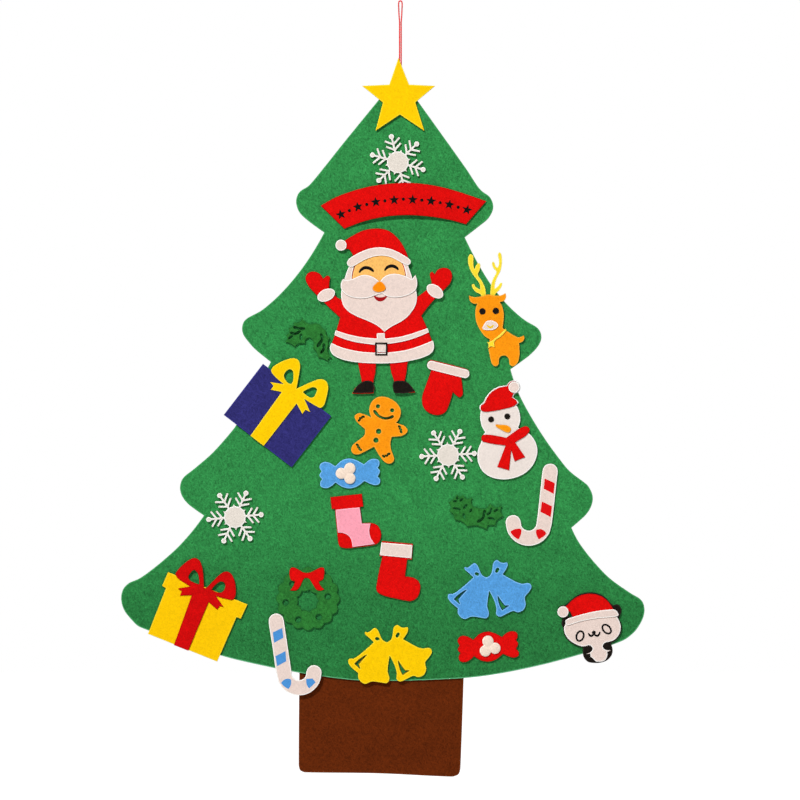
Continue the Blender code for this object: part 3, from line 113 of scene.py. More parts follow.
def spot(point):
    """Where a pixel of the photograph is on the tree, as X and Z."""
    return Vector(((point[0] - HOLE_PX[0]) * PX, -HANG_DROP - (point[1] - HOLE_PX[1]) * PX))


# Materials


def linear(code, alpha=True):
    """An sRGB hex colour as linear values."""
    parts = [int(code[i : i + 2], 16) / 255 for i in (1, 3, 5)]
    light = [c / 12.92 if c <= 0.04045 else ((c + 0.055) / 1.055) ** 2.4 for c in parts]
    return (*light, 1) if alpha else tuple(light)


MIX_A, MIX_B, MIX_OUT = 6, 7, 2  # the colour sockets of a Mix node


def add(tree, kind, settings=(), links=(), stops=()):
    """A shader node with its settings, by attribute or socket, with what feeds its sockets, and
    with its colour stops, if it has any, as position and colour or grey value."""
    node = tree.nodes.new(kind)
    for name, value in dict(settings).items():
        if isinstance(name, str) and hasattr(node, name):
            setattr(node, name, value)
        else:
            node.inputs[name].default_value = value
    for name, source in dict(links).items():
        tree.links.new(source, node.inputs[name])
    if stops:
        elements = node.color_ramp.elements
        while len(elements) < len(stops):
            elements.new(0.5)
        for element, (place, value) in zip(elements, stops):
            element.position = place
            element.color = (value, value, value, 1) if isinstance(value, float) else value
    return node


def new_material(name):
    """An empty material and its node tree."""
    made = bpy.data.materials.new(name)
    made.use_nodes = True
    made.node_tree.nodes.clear()
    return made, made.node_tree


def shade(code, share):
    """The hex colour made lighter by a share above 1 or darker by one below."""
    parts = [min(255, round(int(code[i : i + 2], 16) * share)) for i in (1, 3, 5)]
    return "#" + "".join(f"{p:02x}" for p in parts)


FELT_CLOUD = 34.0  # mm across the soft patches that carding leaves
FELT_TUFT = 3.4  # mm across the clumps that the needles pull
FELT_FIBRE = 1.7  # mm between fibres, drawn some forty times as coarse as they are
FELT_FIBRE_LENGTH = 2.8  # as many times longer than that
# Towards its hem the panel's sheet is a plain step darker, which stands in for weaker light
# down there. The hem's rim is painted paler still: a painted highlight along the panel's lower
# edge.
FADE_PX, FADE_TONES = (500, 640), (0.90, 0.68)
HEM_PX = (600, 660)
FELT_DEPTHS = {"cloud": (0.05, 0.5), "tuft": (0.07, 0.5), "web": (0.44, 0.59)}
DEPTH_SPREAD = 0.15  # how far either side of its middle each of these shades reaches


def felt(name, face, rim, cut, mottle=1.0, hem_highlight=None):
    """Needle-punched polyester felt: matt, a little mottled, with loose fibres that catch the
    light in a faint sheen. The blade fuses the edge and scorches its cut. On top of that, the rim
    and cut colours are painted light: a painted highlight on paler rims, and painted shade on
    darker rims and on the cut, which draws a dark outline. A sheet with a hem of its own is painted
    darker towards it as painted shade, with a painted highlight on its rim there."""
    made, tree = new_material(name)
    place = add(tree, "ShaderNodeTexCoord").outputs["Object"]
    cloud = add(tree, "ShaderNodeTexNoise", {"Scale": 1 / (FELT_CLOUD * MM), "Detail": 1.0,
                "Roughness": 0.4}, {"Vector": place}).outputs["Fac"]
    tuft = add(tree, "ShaderNodeTexNoise", {"Scale": 1 / (FELT_TUFT * MM), "Detail": 5.0,
               "Roughness": 0.75, "Distortion": 0.6}, {"Vector": place}).outputs["Fac"]
    strands = []
    for turn in (0.5, 1.9, 2.7):
        laid = add(tree, "ShaderNodeMapping", {"vector_type": "TEXTURE",
                   "Rotation": (0, turn, 0), "Scale": (1, 1, FELT_FIBRE_LENGTH)},
                   {"Vector": place}).outputs["Vector"]
        strands.append(add(tree, "ShaderNodeTexNoise", {"Scale": 1 / (FELT_FIBRE * MM),
                       "Detail": 2.0, "Roughness": 0.6, "Distortion": 0.9},
                       {"Vector": laid}).outputs["Fac"])
    web = add(tree, "ShaderNodeMath", {"operation": "MAXIMUM"}, {0: strands[0], 1: strands[1]})
    web = add(tree, "ShaderNodeMath", {"operation": "MAXIMUM"}, {0: web.outputs[0], 1: strands[2]})
    web = web.outputs[0]
    tone = add(tree, "ShaderNodeRGB").outputs[0]
    tone.default_value = linear(face)
    fused_rim_and_painted_light = add(tree, "ShaderNodeRGB").outputs[0]
    fused_rim_and_painted_light.default_value = linear(rim)
    # Painted shade darkens the sheet towards its hem, and a painted highlight makes the hem's rim
    # paler.
    if hem_highlight:
        height = add(tree, "ShaderNodeSeparateXYZ", links={"Vector": place}).outputs["Z"]
        down, low = (
            add(tree, "ShaderNodeMapRange", {1: spot((0, top)).y, 2: spot((0, bottom)).y},
                {0: height}).outputs[0] for top, bottom in (FADE_PX, HEM_PX)
        )
        fade = add(tree, "ShaderNodeValToRGB", {}, {"Fac": down},
                   [(0.0, FADE_TONES[0]), (1.0, FADE_TONES[1])])
        fade.color_ramp.interpolation = "EASE"
        tone = add(tree, "ShaderNodeMix", {"data_type": "RGBA", "blend_type": "MULTIPLY", 0: 1.0},
                   {MIX_A: tone, MIX_B: fade.outputs["Color"]}).outputs[MIX_OUT]
        fused_rim_and_painted_light = add(tree, "ShaderNodeMix", {"data_type": "RGBA", MIX_B: linear(hem_highlight)},
                    {0: low, MIX_A: fused_rim_and_painted_light}).outputs[MIX_OUT]
    for source, (depth, middle) in zip((cloud, tuft, web), FELT_DEPTHS.values()):
        low, high = 1 - depth * mottle, 1 + depth * mottle
        stops = [(middle - DEPTH_SPREAD, low), (middle + DEPTH_SPREAD, high)]
        grey = add(tree, "ShaderNodeValToRGB", {}, {"Fac": source}, stops).outputs["Color"]
        tone = add(tree, "ShaderNodeMix", {"data_type": "RGBA", "blend_type": "MULTIPLY", 0: 1.0},
                   {MIX_A: tone, MIX_B: grey}).outputs[MIX_OUT]
    # The edge mark paints the rim band in the rim colour. This is the fused edge, plus a painted
    # highlight where that colour is paler and painted shade where it is darker.
    edge = add(tree, "ShaderNodeAttribute", {"attribute_name": "edge"}).outputs["Fac"]
    stops = [(0.0, 0.0), (0.13, 1.0), (0.45, 1.0), (0.60, 0.0)]
    on_rim = add(tree, "ShaderNodeValToRGB", {}, {"Fac": edge}, stops).outputs["Color"]
    tone = add(tree, "ShaderNodeMix", {"data_type": "RGBA"},
               {0: on_rim, MIX_A: tone, MIX_B: fused_rim_and_painted_light}).outputs[MIX_OUT]
    # Further out, on the cut's wall, comes the cut colour. It is partly the blade's scorch and
    # partly painted shade: a dark outline round each piece.
    stops = [(0.46, 0.0), (0.72, 1.0)]
    on_cut = add(tree, "ShaderNodeValToRGB", {}, {"Fac": edge}, stops).outputs["Color"]
    tone = add(tree, "ShaderNodeMix", {"data_type": "RGBA", MIX_B: linear(cut)},
               {0: on_cut, MIX_A: tone}).outputs[MIX_OUT]
    lumps = add(tree, "ShaderNodeBump", {"Strength": 0.35, "Distance": 0.5 * MM},
                {"Height": tuft}).outputs["Normal"]
    fuzz = add(tree, "ShaderNodeBump", {"Strength": 0.5, "Distance": 0.22 * MM},
               {"Height": web, "Normal": lumps}).outputs["Normal"]
    shader = add(tree, "ShaderNodeBsdfPrincipled", {
        "Roughness": 0.95, "IOR": 1.5, "Specular IOR Level": 0.06, "Sheen Weight": 0.08,
        "Sheen Roughness": 0.5, "Sheen Tint": linear(shade(face, 1.3)),
    }, {"Base Color": tone, "Normal": fuzz})
    add(tree, "ShaderNodeOutputMaterial", links={"Surface": shader.outputs[0]})
    return made


def fine_grained(name, colour, grain, tones, bump, settings):
    """A finish with one fine grain: its size in mm, detail and roughness, the tones that it
    gives the colour, and the strength and depth in mm to which it stands up."""
    size, detail, roughness = grain
    made, tree = new_material(name)
    place = add(tree, "ShaderNodeTexCoord").outputs["Object"]
    source = add(tree, "ShaderNodeTexNoise", {"Scale": 1 / (size * MM), "Detail": detail,
                 "Roughness": roughness}, {"Vector": place}).outputs["Fac"]
    stops = [(at, linear(shade(colour, share))) for at, share in tones]
    tone = add(tree, "ShaderNodeValToRGB", {}, {"Fac": source}, stops).outputs["Color"]
    links = {"Base Color": tone}
    if bump:
        links["Normal"] = add(tree, "ShaderNodeBump", {"Strength": bump[0],
                              "Distance": bump[1] * MM}, {"Height": source}).outputs["Normal"]
    shader = add(tree, "ShaderNodeBsdfPrincipled", settings, links)
    add(tree, "ShaderNodeOutputMaterial", links={"Surface": shader.outputs[0]})
    return made


def screen_ink(name, colour):
    """Screen-printed ink that has sunk into felt: nearly matt, and broken a little by fibres."""
    return fine_grained(name, colour, (0.9, 4.0, 0.7), [(0.3, 0.9), (0.75, 1.12)], (0.3, 0.15),
                        {"Roughness": 0.75, "IOR": 1.5, "Specular IOR Level": 0.08})


def spun_thread(name, colour):
    """Twisted polyester cord: fine fibres run round each ply, with a soft gloss along them."""
    return fine_grained(name, colour, (0.25, 3.0, 0.6), [(0.3, 0.88), (0.7, 1.04)], (0.4, 0.1),
                        {"Roughness": 0.6, "IOR": 1.5, "Specular IOR Level": 0.3,
                         "Sheen Weight": 0.2, "Sheen Roughness": 0.4})


def moulded_nylon(name, colour):
    """The hook tape's moulded nylon, slightly glossy and clean."""
    return fine_grained(name, colour, (1.5, 2.0, 0.5), [(0.3, 0.95), (0.7, 1.0)], None,
                        {"Roughness": 0.42, "IOR": 1.53})


# The finish of each of the record's slots: its face, its rim, its cut edge and its mottling.
# The rim and cut colours are partly the fused edge and partly painted light: a painted highlight
# where they are paler, and painted shade where they are darker.
FELTS = {
    "felt_green": ("pine_green_polyester_felt", "#35944d", "#46a25f", "#16491f", 1.0),
    "felt_dark_green": ("holly_green_polyester_felt", "#2e7a33", "#2a7030", "#0a240c", 0.9),
    "felt_brown": ("bark_brown_polyester_felt", "#642809", "#773a18", "#341204", 0.8),
    "felt_red": ("scarlet_polyester_felt", "#e10c0a", "#cb0a08", "#5a0201", 0.5),
    "felt_deep_red": ("crimson_polyester_felt", "#d2090a", "#bd0808", "#520101", 0.5),
    "felt_white": ("rose_white_polyester_felt", "#ecd7cd", "#fffbf6", "#cba592", 0.22),
    "felt_snow": ("cream_white_polyester_felt", "#e6ddd2", "#fffefa", "#d9c7b4", 0.2),
    "felt_yellow": ("lemon_yellow_polyester_felt", "#ffcd04", "#ffdf2c", "#a26f02", 0.25),
    "felt_gold": ("golden_yellow_polyester_felt", "#ffca05", "#ffd926", "#8e6002", 0.25),
    "felt_navy": ("indigo_polyester_felt", "#323072", "#373489", "#0d0c2e", 0.8),
    "felt_blue": ("sky_blue_polyester_felt", "#569fdf", "#7fbff4", "#1b4b7c", 0.5),
    "felt_pink": ("candy_pink_polyester_felt", "#ffa4b6", "#ffbfce", "#b2506a", 0.3),
    "felt_orange": ("ginger_orange_polyester_felt", "#ff9811", "#ffab32", "#301503", 0.35),
    "felt_skin": ("peach_polyester_felt", "#fdbf67", "#ffcc7e", "#7f4a20", 0.4),
    "felt_black": ("black_polyester_felt", "#1c1713", "#2d2622", "#0a0807", 1.0),
}
SLOT = {row["node"]: row["material_slot"] for row in frame["record"]["subparts"]}
# The panel's hem rim colour: a painted highlight along its lower edge.
HEM_HIGHLIGHTS = {"felt_green": "#66bd86"}
finish = {slot: felt(*look, HEM_HIGHLIGHTS.get(slot)) for slot, look in FELTS.items()}
padded_cream = felt("cream_polyester_felt", "#f8e2cf", "#fff1e2", "#b98660", 0.25)
pale_lemon = felt("pale_lemon_polyester_felt", "#ffe034", "#ffec5c", "#a58a10", 0.25)
tangerine = felt("tangerine_polyester_felt", "#ff8c0c", "#ff9c28", "#5a2a02", 0.3)
pearl_white = felt("pearl_white_polyester_felt", "#eee2da", "#fffdfa", "#c7a799", 0.15)
OWN_LOOK = {
    "blue_candy_dots": padded_cream, "red_candy_dots": padded_cream,
    "santa_nose": tangerine, "reindeer_antlers": pale_lemon, "reindeer_collar": pale_lemon,
    "snowman_body": pearl_white,
    "red_cane": finish["felt_white"], "blue_cane": finish["felt_white"],
}
finish["cord_red"] = spun_thread("scarlet_twisted_polyester_cord", "#f80c0c")
black_ink = screen_ink("black_screen_ink", "#080606")
red_ink = screen_ink("scarlet_screen_ink", "#dc0b0e")
lip_ink = screen_ink("crimson_screen_ink", "#a00a12")
yellow_ink = screen_ink("yellow_screen_ink", "#ffc41c")
blue_ink = screen_ink("sky_blue_screen_ink", "#4d93d6")
hook_nylon = moulded_nylon("white_moulded_nylon_hook_tape", "#e9e7e2")


# How the felt hangs: one gentle wave carries the panel and all that lies on it

SLOW_WAVE, SLOW_ACROSS, SLOW_DOWN = 0.45 * MM, 0.21, 0.19
SIDE_WAVE, SIDE_ACROSS, SIDE_DOWN = 1.5 * MM, 0.30, 0.13
SIDE_REACH = 0.34  # from the middle to where the side wave is at its full height


def wave(x, z):
    """How far the hanging felt stands back from flat, more so towards the panel's sides."""
    slow = noise.noise((x / SLOW_ACROSS, 3.7, z / SLOW_DOWN)) * SLOW_WAVE
    reach = min(abs(x) / SIDE_REACH, 1.0) ** 2
    return slow + noise.noise((x / SIDE_ACROSS, 8.1, z / SIDE_DOWN)) * SIDE_WAVE * reach


LEVEL_BODIES = {"tree", "banner", "snowflake_top", "star", "hanger"}
LIFT_START, LIFT_REACH, LIFT_MOST = 14 * MM, 55 * MM, 1.1 * MM


def lift(body, x, z, pads):
    """How far a free corner curls forward, away from the pads that hold it."""
    if body in LEVEL_BODIES or not pads:
        return 0.0
    away = min(math.hypot(x - px, z - pz) for px, pz in pads) - LIFT_START
    return -LIFT_MOST * min(max(away, 0.0) / LIFT_REACH, 1.0) ** 1.6


# Outlines

FRONT_FACING = -0.85  # a front face's normal points at least this far towards -Y


def front_loops(node, reach):
    """The closed outlines of a CAD sheet's front face, as X and Z, the outer one first. The
    front lies within the reach of the sheet's foremost point."""
    mesh = node.data
    place, points, edges = {}, [], {}
    level = min(vertex.co.y for vertex in mesh.vertices) + reach
    for face in mesh.polygons:
        if face.normal.y > FRONT_FACING or face.center.y > level:
            continue
        ids = []
        for i in face.vertices:
            co = mesh.vertices[i].co
            key = (round(co.x * 1e5), round(co.z * 1e5))
            if key not in place:
                place[key] = len(points)
                points.append((co.x, co.z))
            ids.append(place[key])
        for a, b in zip(ids, ids[1:] + ids[:1]):
            if (b, a) in edges:
                del edges[(b, a)]
            else:
                edges[(a, b)] = True
    after = dict(edges.keys())
    loops = []
    while after:
        start, here = next(iter(after.items()))
        del after[start]
        loop = [start]
        while here != start:
            loop.append(here)
            here = after.pop(here)
        loops.append(np.array([points[i] for i in loop]))
    return sorted(loops, key=lambda loop: -abs(area_of(loop)))


def area_of(loop):
    """The loop's area, positive where it runs anticlockwise as seen from the front."""
    x, z = loop[:, 0], loop[:, 1]
    return 0.5 * float(np.dot(x, np.roll(z, -1)) - np.dot(z, np.roll(x, -1)))


SHARP = math.radians(46)


def rounded(loop, step, corner=0.5 * MM):
    """The outline with its facets smoothed into curves, and a small round at each corner."""
    count = len(loop)
    ahead = np.roll(loop, -1, axis=0) - loop
    long = np.linalg.norm(ahead, axis=1)
    way = ahead / long[:, None]
    before = np.roll(way, 1, axis=0)
    turn = np.abs(np.arctan2(before[:, 0] * way[:, 1] - before[:, 1] * way[:, 0],
                             (before * way).sum(axis=1)))
    was = np.roll(long, 1)
    sharp = (turn > SHARP) & (np.minimum(was, long) > 1.0 * MM)
    tangent = before * was[:, None] + way * long[:, None]
    tangent /= np.linalg.norm(tangent, axis=1)[:, None]
    line = []
    for i in range(count):
        j = (i + 1) % count
        a, b, reach = loop[i], loop[j], long[i] / 3
        start = way[i] if sharp[i] and sharp[j] else tangent[i]
        end = way[i] if sharp[i] and sharp[j] else tangent[j]
        if sharp[i] and not sharp[j]:
            start = 2 * way[i] * float(way[i] @ tangent[j]) - tangent[j]
        if sharp[j] and not sharp[i]:
            end = 2 * way[i] * float(way[i] @ tangent[i]) - tangent[i]
        steps = max(2, round(long[i] / step))
        curve = interpolate_bezier(*(Vector(p) for p in (a, a + start * reach, b - end * reach, b)),
                                   steps + 1)
        curve = [np.array(p) for p in curve[:-1]]
        if sharp[i]:
            cut = min(corner, 0.3 * min(long[i], was[i]))
            curve = [a - before[i] * cut, a + (way[i] - before[i]) * cut * 0.15,
                     a + way[i] * cut] + curve[1:]
        line += curve
    return tidy_run(np.array(line), step * 0.3)


def tidy_run(line, least):
    """A closed line without points closer together than the least distance."""
    kept = [line[0]]
    for point in line[1:]:
        if np.linalg.norm(point - kept[-1]) >= least:
            kept.append(point)
    while len(kept) > 3 and np.linalg.norm(kept[-1] - kept[0]) < least:
        kept.pop()
    return np.array(kept)


def inward(loop):
    """Unit normals at each point that face into the felt, which is on the loop's left."""
    ahead = np.roll(loop, -1, axis=0) - loop
    ahead /= np.linalg.norm(ahead, axis=1)[:, None]
    way = ahead + np.roll(ahead, 1, axis=0)
    way /= np.maximum(np.linalg.norm(way, axis=1), 1e-9)[:, None]
    return np.stack([-way[:, 1], way[:, 0]], axis=1)


def room(loop, normals, every):
    """How far each point can move into the felt before it meets the other side's moved points."""
    free = np.full(len(loop), 1.0)
    for i in range(len(loop)):
        gap = every - loop[i]
        deep = gap @ normals[i]
        facing = deep > 1e-6
        if facing.any():
            free[i] = ((gap[facing] ** 2).sum(axis=1) / (2 * deep[facing])).min()
    near = np.minimum(free, np.minimum(np.roll(free, 1), np.roll(free, -1)))
    return (near + np.roll(near, 1) + np.roll(near, -1)) / 3


def inside(points, loops):
    """Which points lie within the outer loop and outside the holes."""
    hit = np.zeros(len(points), bool)
    for loop in loops:
        low, high = loop.min(axis=0), loop.max(axis=0)
        near = np.flatnonzero(((points >= low) & (points <= high)).all(axis=1))
        if not len(near):
            continue
        x, z = points[near, 0], points[near, 1]
        odd = np.zeros(len(near), bool)
        for a, b in zip(loop, np.roll(loop, -1, axis=0)):
            if a[1] == b[1]:
                continue
            crosses = (a[1] > z) != (b[1] > z)
            odd ^= crosses & (x < a[0] + (b[0] - a[0]) * (z - a[1]) / (b[1] - a[1]))
        hit[near] ^= odd
    return hit


ROW_SHARE, JITTER_SHARE, CLEAR_SHARE = 0.87, 0.18, 0.55  # of the spacing between filling points


def filling(loops, spacing, seed):
    """Points spread evenly between the loops, clear of their edges."""
    every = np.concatenate(loops)
    low, high = every.min(axis=0), every.max(axis=0)
    rows = np.arange(low[1], high[1], spacing * ROW_SHARE)
    points = [
        (x, z) for k, z in enumerate(rows)
        for x in np.arange(low[0] + (k % 2) * spacing / 2, high[0], spacing)
    ]
    if not points:
        return np.zeros((0, 2))
    points = np.array(points)
    jitter = np.random.default_rng(seed).uniform(-JITTER_SHARE, JITTER_SHARE, points.shape)
    points += jitter * spacing
    points = points[inside(points, loops)]
    clear = np.ones(len(points), bool)
    for start in range(0, len(points), 500):
        block = points[start : start + 500]
        gap = ((block[:, None, :] - every[None, :, :]) ** 2).sum(axis=2).min(axis=1)
        clear[start : start + 500] = gap > (CLEAR_SHARE * spacing) ** 2
    return points[clear]


def cap(loops, loose):
    """Triangles that fill the area between the loops, through the loose points inside."""
    flat = np.concatenate([*loops, loose]) if len(loose) else np.concatenate(loops)
    edges, start = [], 0
    for loop in loops:
        count = len(loop)
        edges += [(start + i, start + (i + 1) % count) for i in range(count)]
        start += count
    found = delaunay_2d_cdt([Vector(p) for p in flat], edges, [], 0, 1e-9)
    spots, faces, origins = found[0], found[2], found[3]
    places = np.array([(p.x, p.y) for p in spots])
    names, extra = [], []
    for k, origin in enumerate(origins):
        if origin:
            names.append(origin[0])
        else:
            names.append(len(flat) + len(extra))
            extra.append(places[k])
    centres = np.array([places[list(face)].mean(axis=0) for face in faces])
    kept = inside(centres, loops)
    triangles = []
    for face, keep in zip(faces, kept):
        if not keep:
            continue
        a, b, c = places[list(face)]
        ids = [names[i] for i in face]
        upright = (b[0] - a[0]) * (c[1] - a[1]) - (b[1] - a[1]) * (c[0] - a[0]) > 0
        triangles.append(ids if upright else ids[::-1])
    return triangles, np.array(extra).reshape(-1, 2)


# Cut felt

# The rim band takes the rim colour: the fused edge, with a painted highlight where it is paler and
# painted shade where it is darker.
RIM_WIDTH = 0.9 * MM  # how far in from its rounded edge felt is paler
# A slit narrower than this closes towards the back, where the felt springs in behind the blade
SLIT_WIDTH, SLIT_LEAN, SLIT_ROUND = 3.2 * MM, 1.0 * MM, 0.5
# SLIT_SHADE is painted shade: inside a slit it spreads the dark cut colour further in.
SLIT_MOUTH, SLIT_SHADE = 0.19 * MM, 1.4  # how far its lips stand open, and how deep its cut shows
SLIT_LEAN_SHARE = 0.45  # of the room across a slit that each wall may lean into
BACK_SPACING = 2.2  # times as coarse as the front
ROOM_LEAST, ROOM_MORE = 0.30, 0.50  # shares of the free room: an outer ring's, and what it gains


def is_slit(loop):
    """Whether a hole is long and narrow."""
    around = float(np.linalg.norm(np.roll(loop, -1, axis=0) - loop, axis=1).sum())
    area = abs(area_of(loop))
    return 2 * area / around < SLIT_WIDTH and 4 * math.pi * area / around**2 < SLIT_ROUND


class Cut:
    """One flat piece cut from a sheet: rounded front edge, plain back edge, all one closed mesh."""

    def __init__(self, loops, thick, edge, spacing, seed, depth_at, lump=0.0, swell=None):
        self.places, self.edge_marks, self.faces = [], [], []
        self.thick, self.depth_at, self.lump, self.seed = thick, depth_at, lump, seed
        self.swell = swell
        loops = [loop if (area_of(loop) > 0) == (k == 0) else loop[::-1]
                 for k, loop in enumerate(loops)]
        every = np.concatenate(loops)
        moves = []
        for k, loop in enumerate(loops):
            normals = inward(loop)
            lean = np.zeros(len(loop))
            if k and is_slit(loop):
                lean = np.minimum(SLIT_LEAN, SLIT_MOUTH + room(loop, -normals, loop)
                                  * SLIT_LEAN_SHARE)
            moves.append((normals, room(loop, normals, every), lean))
        rings = []
        # In a slit, the edge mark is raised by SLIT_SHADE, so the dark cut colour reaches further
        # in: painted shade inside the slit.
        for inset, deep, mark in self.profile(edge):
            rings.append([
                self.ring(loop + normals * (
                    np.minimum(inset + (SLIT_MOUTH if lean.any() else 0),
                               free * share(inset, edge)) - lean * min(deep / thick, 1))[:, None],
                    deep, min(mark * (SLIT_SHADE if lean.any() else 1), 1.0))
                for loop, (normals, free, lean) in zip(loops, moves)
            ])
        for outer, inner in zip(rings, rings[1:]):
            for (a, _), (b, _) in zip(outer, inner):
                count = len(a)
                self.faces += [
                    (b[i], b[(i + 1) % count], a[(i + 1) % count], a[i]) for i in range(count)
                ]
        self.close(rings[0], 0.0, spacing, seed, front=True)
        self.close(rings[-1], thick, spacing * BACK_SPACING, seed + 1, front=False)

    def profile(self, edge):
        """Rings from the front face round the cut to the back: inset, depth and edge mark."""
        quarter = [(edge * (1 - math.sin(t)), edge * (1 - math.cos(t)))
                   for t in (0.0, 0.55, 1.05, math.pi / 2)]
        marks = (0.28, 0.40, 0.50, 0.60)
        rings = [(edge + RIM_WIDTH, 0.0, 0.0), (edge + RIM_WIDTH * 0.5, 0.0, 0.14)]
        rings += [(inset, deep, mark) for (inset, deep), mark in zip(quarter, marks)]
        back = self.thick - edge * 0.5
        return rings + [(0.0, (edge + back) / 2, 1.0), (0.0, back, 1.0),
                        (edge * 0.5, self.thick, 0.7), (edge * 2.0, self.thick, 0.0)]

    def ring(self, line, deep, mark):
        """A ring's vertices, and the line that they lie on."""
        ids = [self.vertex(x, z, deep, mark) for x, z in line]
        return ids, line

    def vertex(self, x, z, deep, mark):
        """A vertex at this depth behind the sheet's front, with fine lumps on the front itself."""
        y = self.depth_at(x, z) + deep
        if deep == 0.0 and self.lump:
            fine = noise.noise((x / (6 * MM), self.seed * 1.7, z / (6 * MM)))
            y += fine * self.lump * (1 - mark)
        if deep == 0.0 and self.swell:
            y -= self.swell(x, z)
        self.places.append((x, y, z))
        self.edge_marks.append(mark)
        return len(self.places) - 1

    def close(self, ring, deep, spacing, seed, front):
        """Fills the face inside a ring."""
        lines = [line for _, line in ring]
        loose = filling(lines, spacing, seed)
        triangles, extra = cap(lines, loose)
        ids = [i for names, _ in ring for i in names]
        ids += [self.vertex(x, z, deep, 0.0) for x, z in loose]
        ids += [self.vertex(x, z, deep, 0.0) for x, z in extra]
        for a, b, c in triangles:
            self.faces.append((ids[a], ids[b], ids[c]) if front else (ids[c], ids[b], ids[a]))


def linked(name, data):
    """An object with this data, in the scene."""
    obj = bpy.data.objects.new(name, data)
    bpy.context.scene.collection.objects.link(obj)
    return obj


def piece_from(name, places, faces, material, marks=None):
    """One object made of places and faces, with an edge mark for each place if there are any."""
    mesh = bpy.data.meshes.new(name)
    mesh.from_pydata([tuple(p) for p in places], [], faces)
    if marks:
        edge = mesh.attributes.new("edge", "FLOAT", "POINT")
        edge.data.foreach_set("value", np.array(marks, np.float32))
    mesh.materials.append(material)
    mesh.shade_smooth()
    mesh.update()
    return linked(name, mesh)


def piece_of(name, cuts, material):
    """One object made of one or more cut pieces."""
    places, marks, faces = [], [], []
    for cut in cuts:
        start = len(places)
        faces += [tuple(start + i for i in face) for face in cut.faces]
        places += cut.places
        marks += cut.edge_marks
    return piece_from(name, places, faces, material, marks)


def share(inset, edge):
    """The share of the free room that a ring may take: the rings nest and never cross."""
    return ROOM_LEAST + ROOM_MORE * min(inset / (edge + RIM_WIDTH), 1.0)


def put(obj, body, nodes=()):
    """The piece on its body, with the nodes that it stands for hidden."""
    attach(obj, body)
    if nodes:
        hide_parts(*nodes)
    return obj


# Camera, light and floor

centre = spot((PHOTO_PX / 2, PHOTO_PX / 2))
camera_data = bpy.data.cameras.new("camera")
camera_data.lens = camera_data.sensor_width * CAMERA_DISTANCE / (PHOTO_PX * PX)
camera = linked("camera", camera_data)
camera.location = (centre.x, -CAMERA_DISTANCE, centre.y)
camera.rotation_euler = (math.pi / 2, 0, 0)
bpy.context.scene.camera = camera
bpy.context.scene.view_settings.view_transform = "Standard"


def soft_sun(name, toward, strength, spread):
    """A far soft box: light that comes from one side of the camera, with soft shadows."""
    lamp = bpy.data.lights.new(name, "SUN")
    lamp.energy, lamp.angle = strength, math.radians(spread)
    linked(name, lamp).rotation_euler = Vector(toward).to_track_quat("-Z", "Y").to_euler()


def soft_box(name, place, aim, power, size):
    """A square soft box near the object, so that its light falls off a little with distance."""
    lamp = bpy.data.lights.new(name, "AREA")
    lamp.energy, lamp.size = power, size
    obj = linked(name, lamp)
    obj.location = place
    obj.rotation_euler = (Vector(aim) - Vector(place)).to_track_quat("-Z", "Y").to_euler()


soft_box("key_light", (-1.5, -3.4, 2.1), (0, 0, -0.5), 173.0, 0.5)
soft_box("fill_light", (0.25, -1.25, -0.95), (0.1, 0, -0.6), 3.7, 0.8)
soft_sun("back_light", (0.4, -1.0, -0.5), 2.0, 40)

WORLD_LIGHT = 0.10
world = bpy.data.worlds.new("white_room")
world.use_nodes = True
world.node_tree.nodes.clear()
rays = add(world.node_tree, "ShaderNodeLightPath")
seen = add(world.node_tree, "ShaderNodeMath", {"operation": "MAXIMUM"},
           {0: rays.outputs["Is Camera Ray"], 1: rays.outputs["Is Glossy Ray"]})
seen = add(world.node_tree, "ShaderNodeMath", {"operation": "MAXIMUM"},
           {0: seen.outputs[0], 1: rays.outputs["Is Transmission Ray"]})
strength = add(world.node_tree, "ShaderNodeMapRange", {3: WORLD_LIGHT, 4: 1.0},
               {0: seen.outputs[0]})
sky = add(world.node_tree, "ShaderNodeBackground", {"Color": (1, 1, 1, 1)},
          {"Strength": strength.outputs[0]})
add(world.node_tree, "ShaderNodeOutputWorld", links={"Surface": sky.outputs[0]})
bpy.context.scene.world = world


FLOOR_HALF, FLOOR_DROP, FLOOR_GLOW = 4.0, 0.35, 0.86


def pale_floor():
    """A plain floor that looks white and keeps the object's shadow."""
    made, tree = new_material("white_studio_board")
    path = add(tree, "ShaderNodeLightPath").outputs["Is Camera Ray"]
    glow = add(tree, "ShaderNodeMath", {"operation": "MULTIPLY", 1: FLOOR_GLOW}, {0: path})
    shader = add(tree, "ShaderNodeBsdfPrincipled", {"Base Color": linear("#a8a8a8"),
                 "Roughness": 0.9, "Emission Color": (1, 1, 1, 1)},
                 {"Emission Strength": glow.outputs[0]})
    add(tree, "ShaderNodeOutputMaterial", links={"Surface": shader.outputs[0]})
    mesh = bpy.data.meshes.new("studio_floor")
    half, level = FLOOR_HALF, cad_box[0].z - FLOOR_DROP
    corners = [(x * half, y * half, level) for x, y in ((-1, -1), (1, -1), (1, 1), (-1, 1))]
    mesh.from_pydata(corners, [], [(0, 1, 2, 3)])
    mesh.materials.append(made)
    floor = linked("studio_floor", mesh)
    floor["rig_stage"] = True


pale_floor()

# The cord: twisted from two plies, doubled through the hole and tied behind the panel

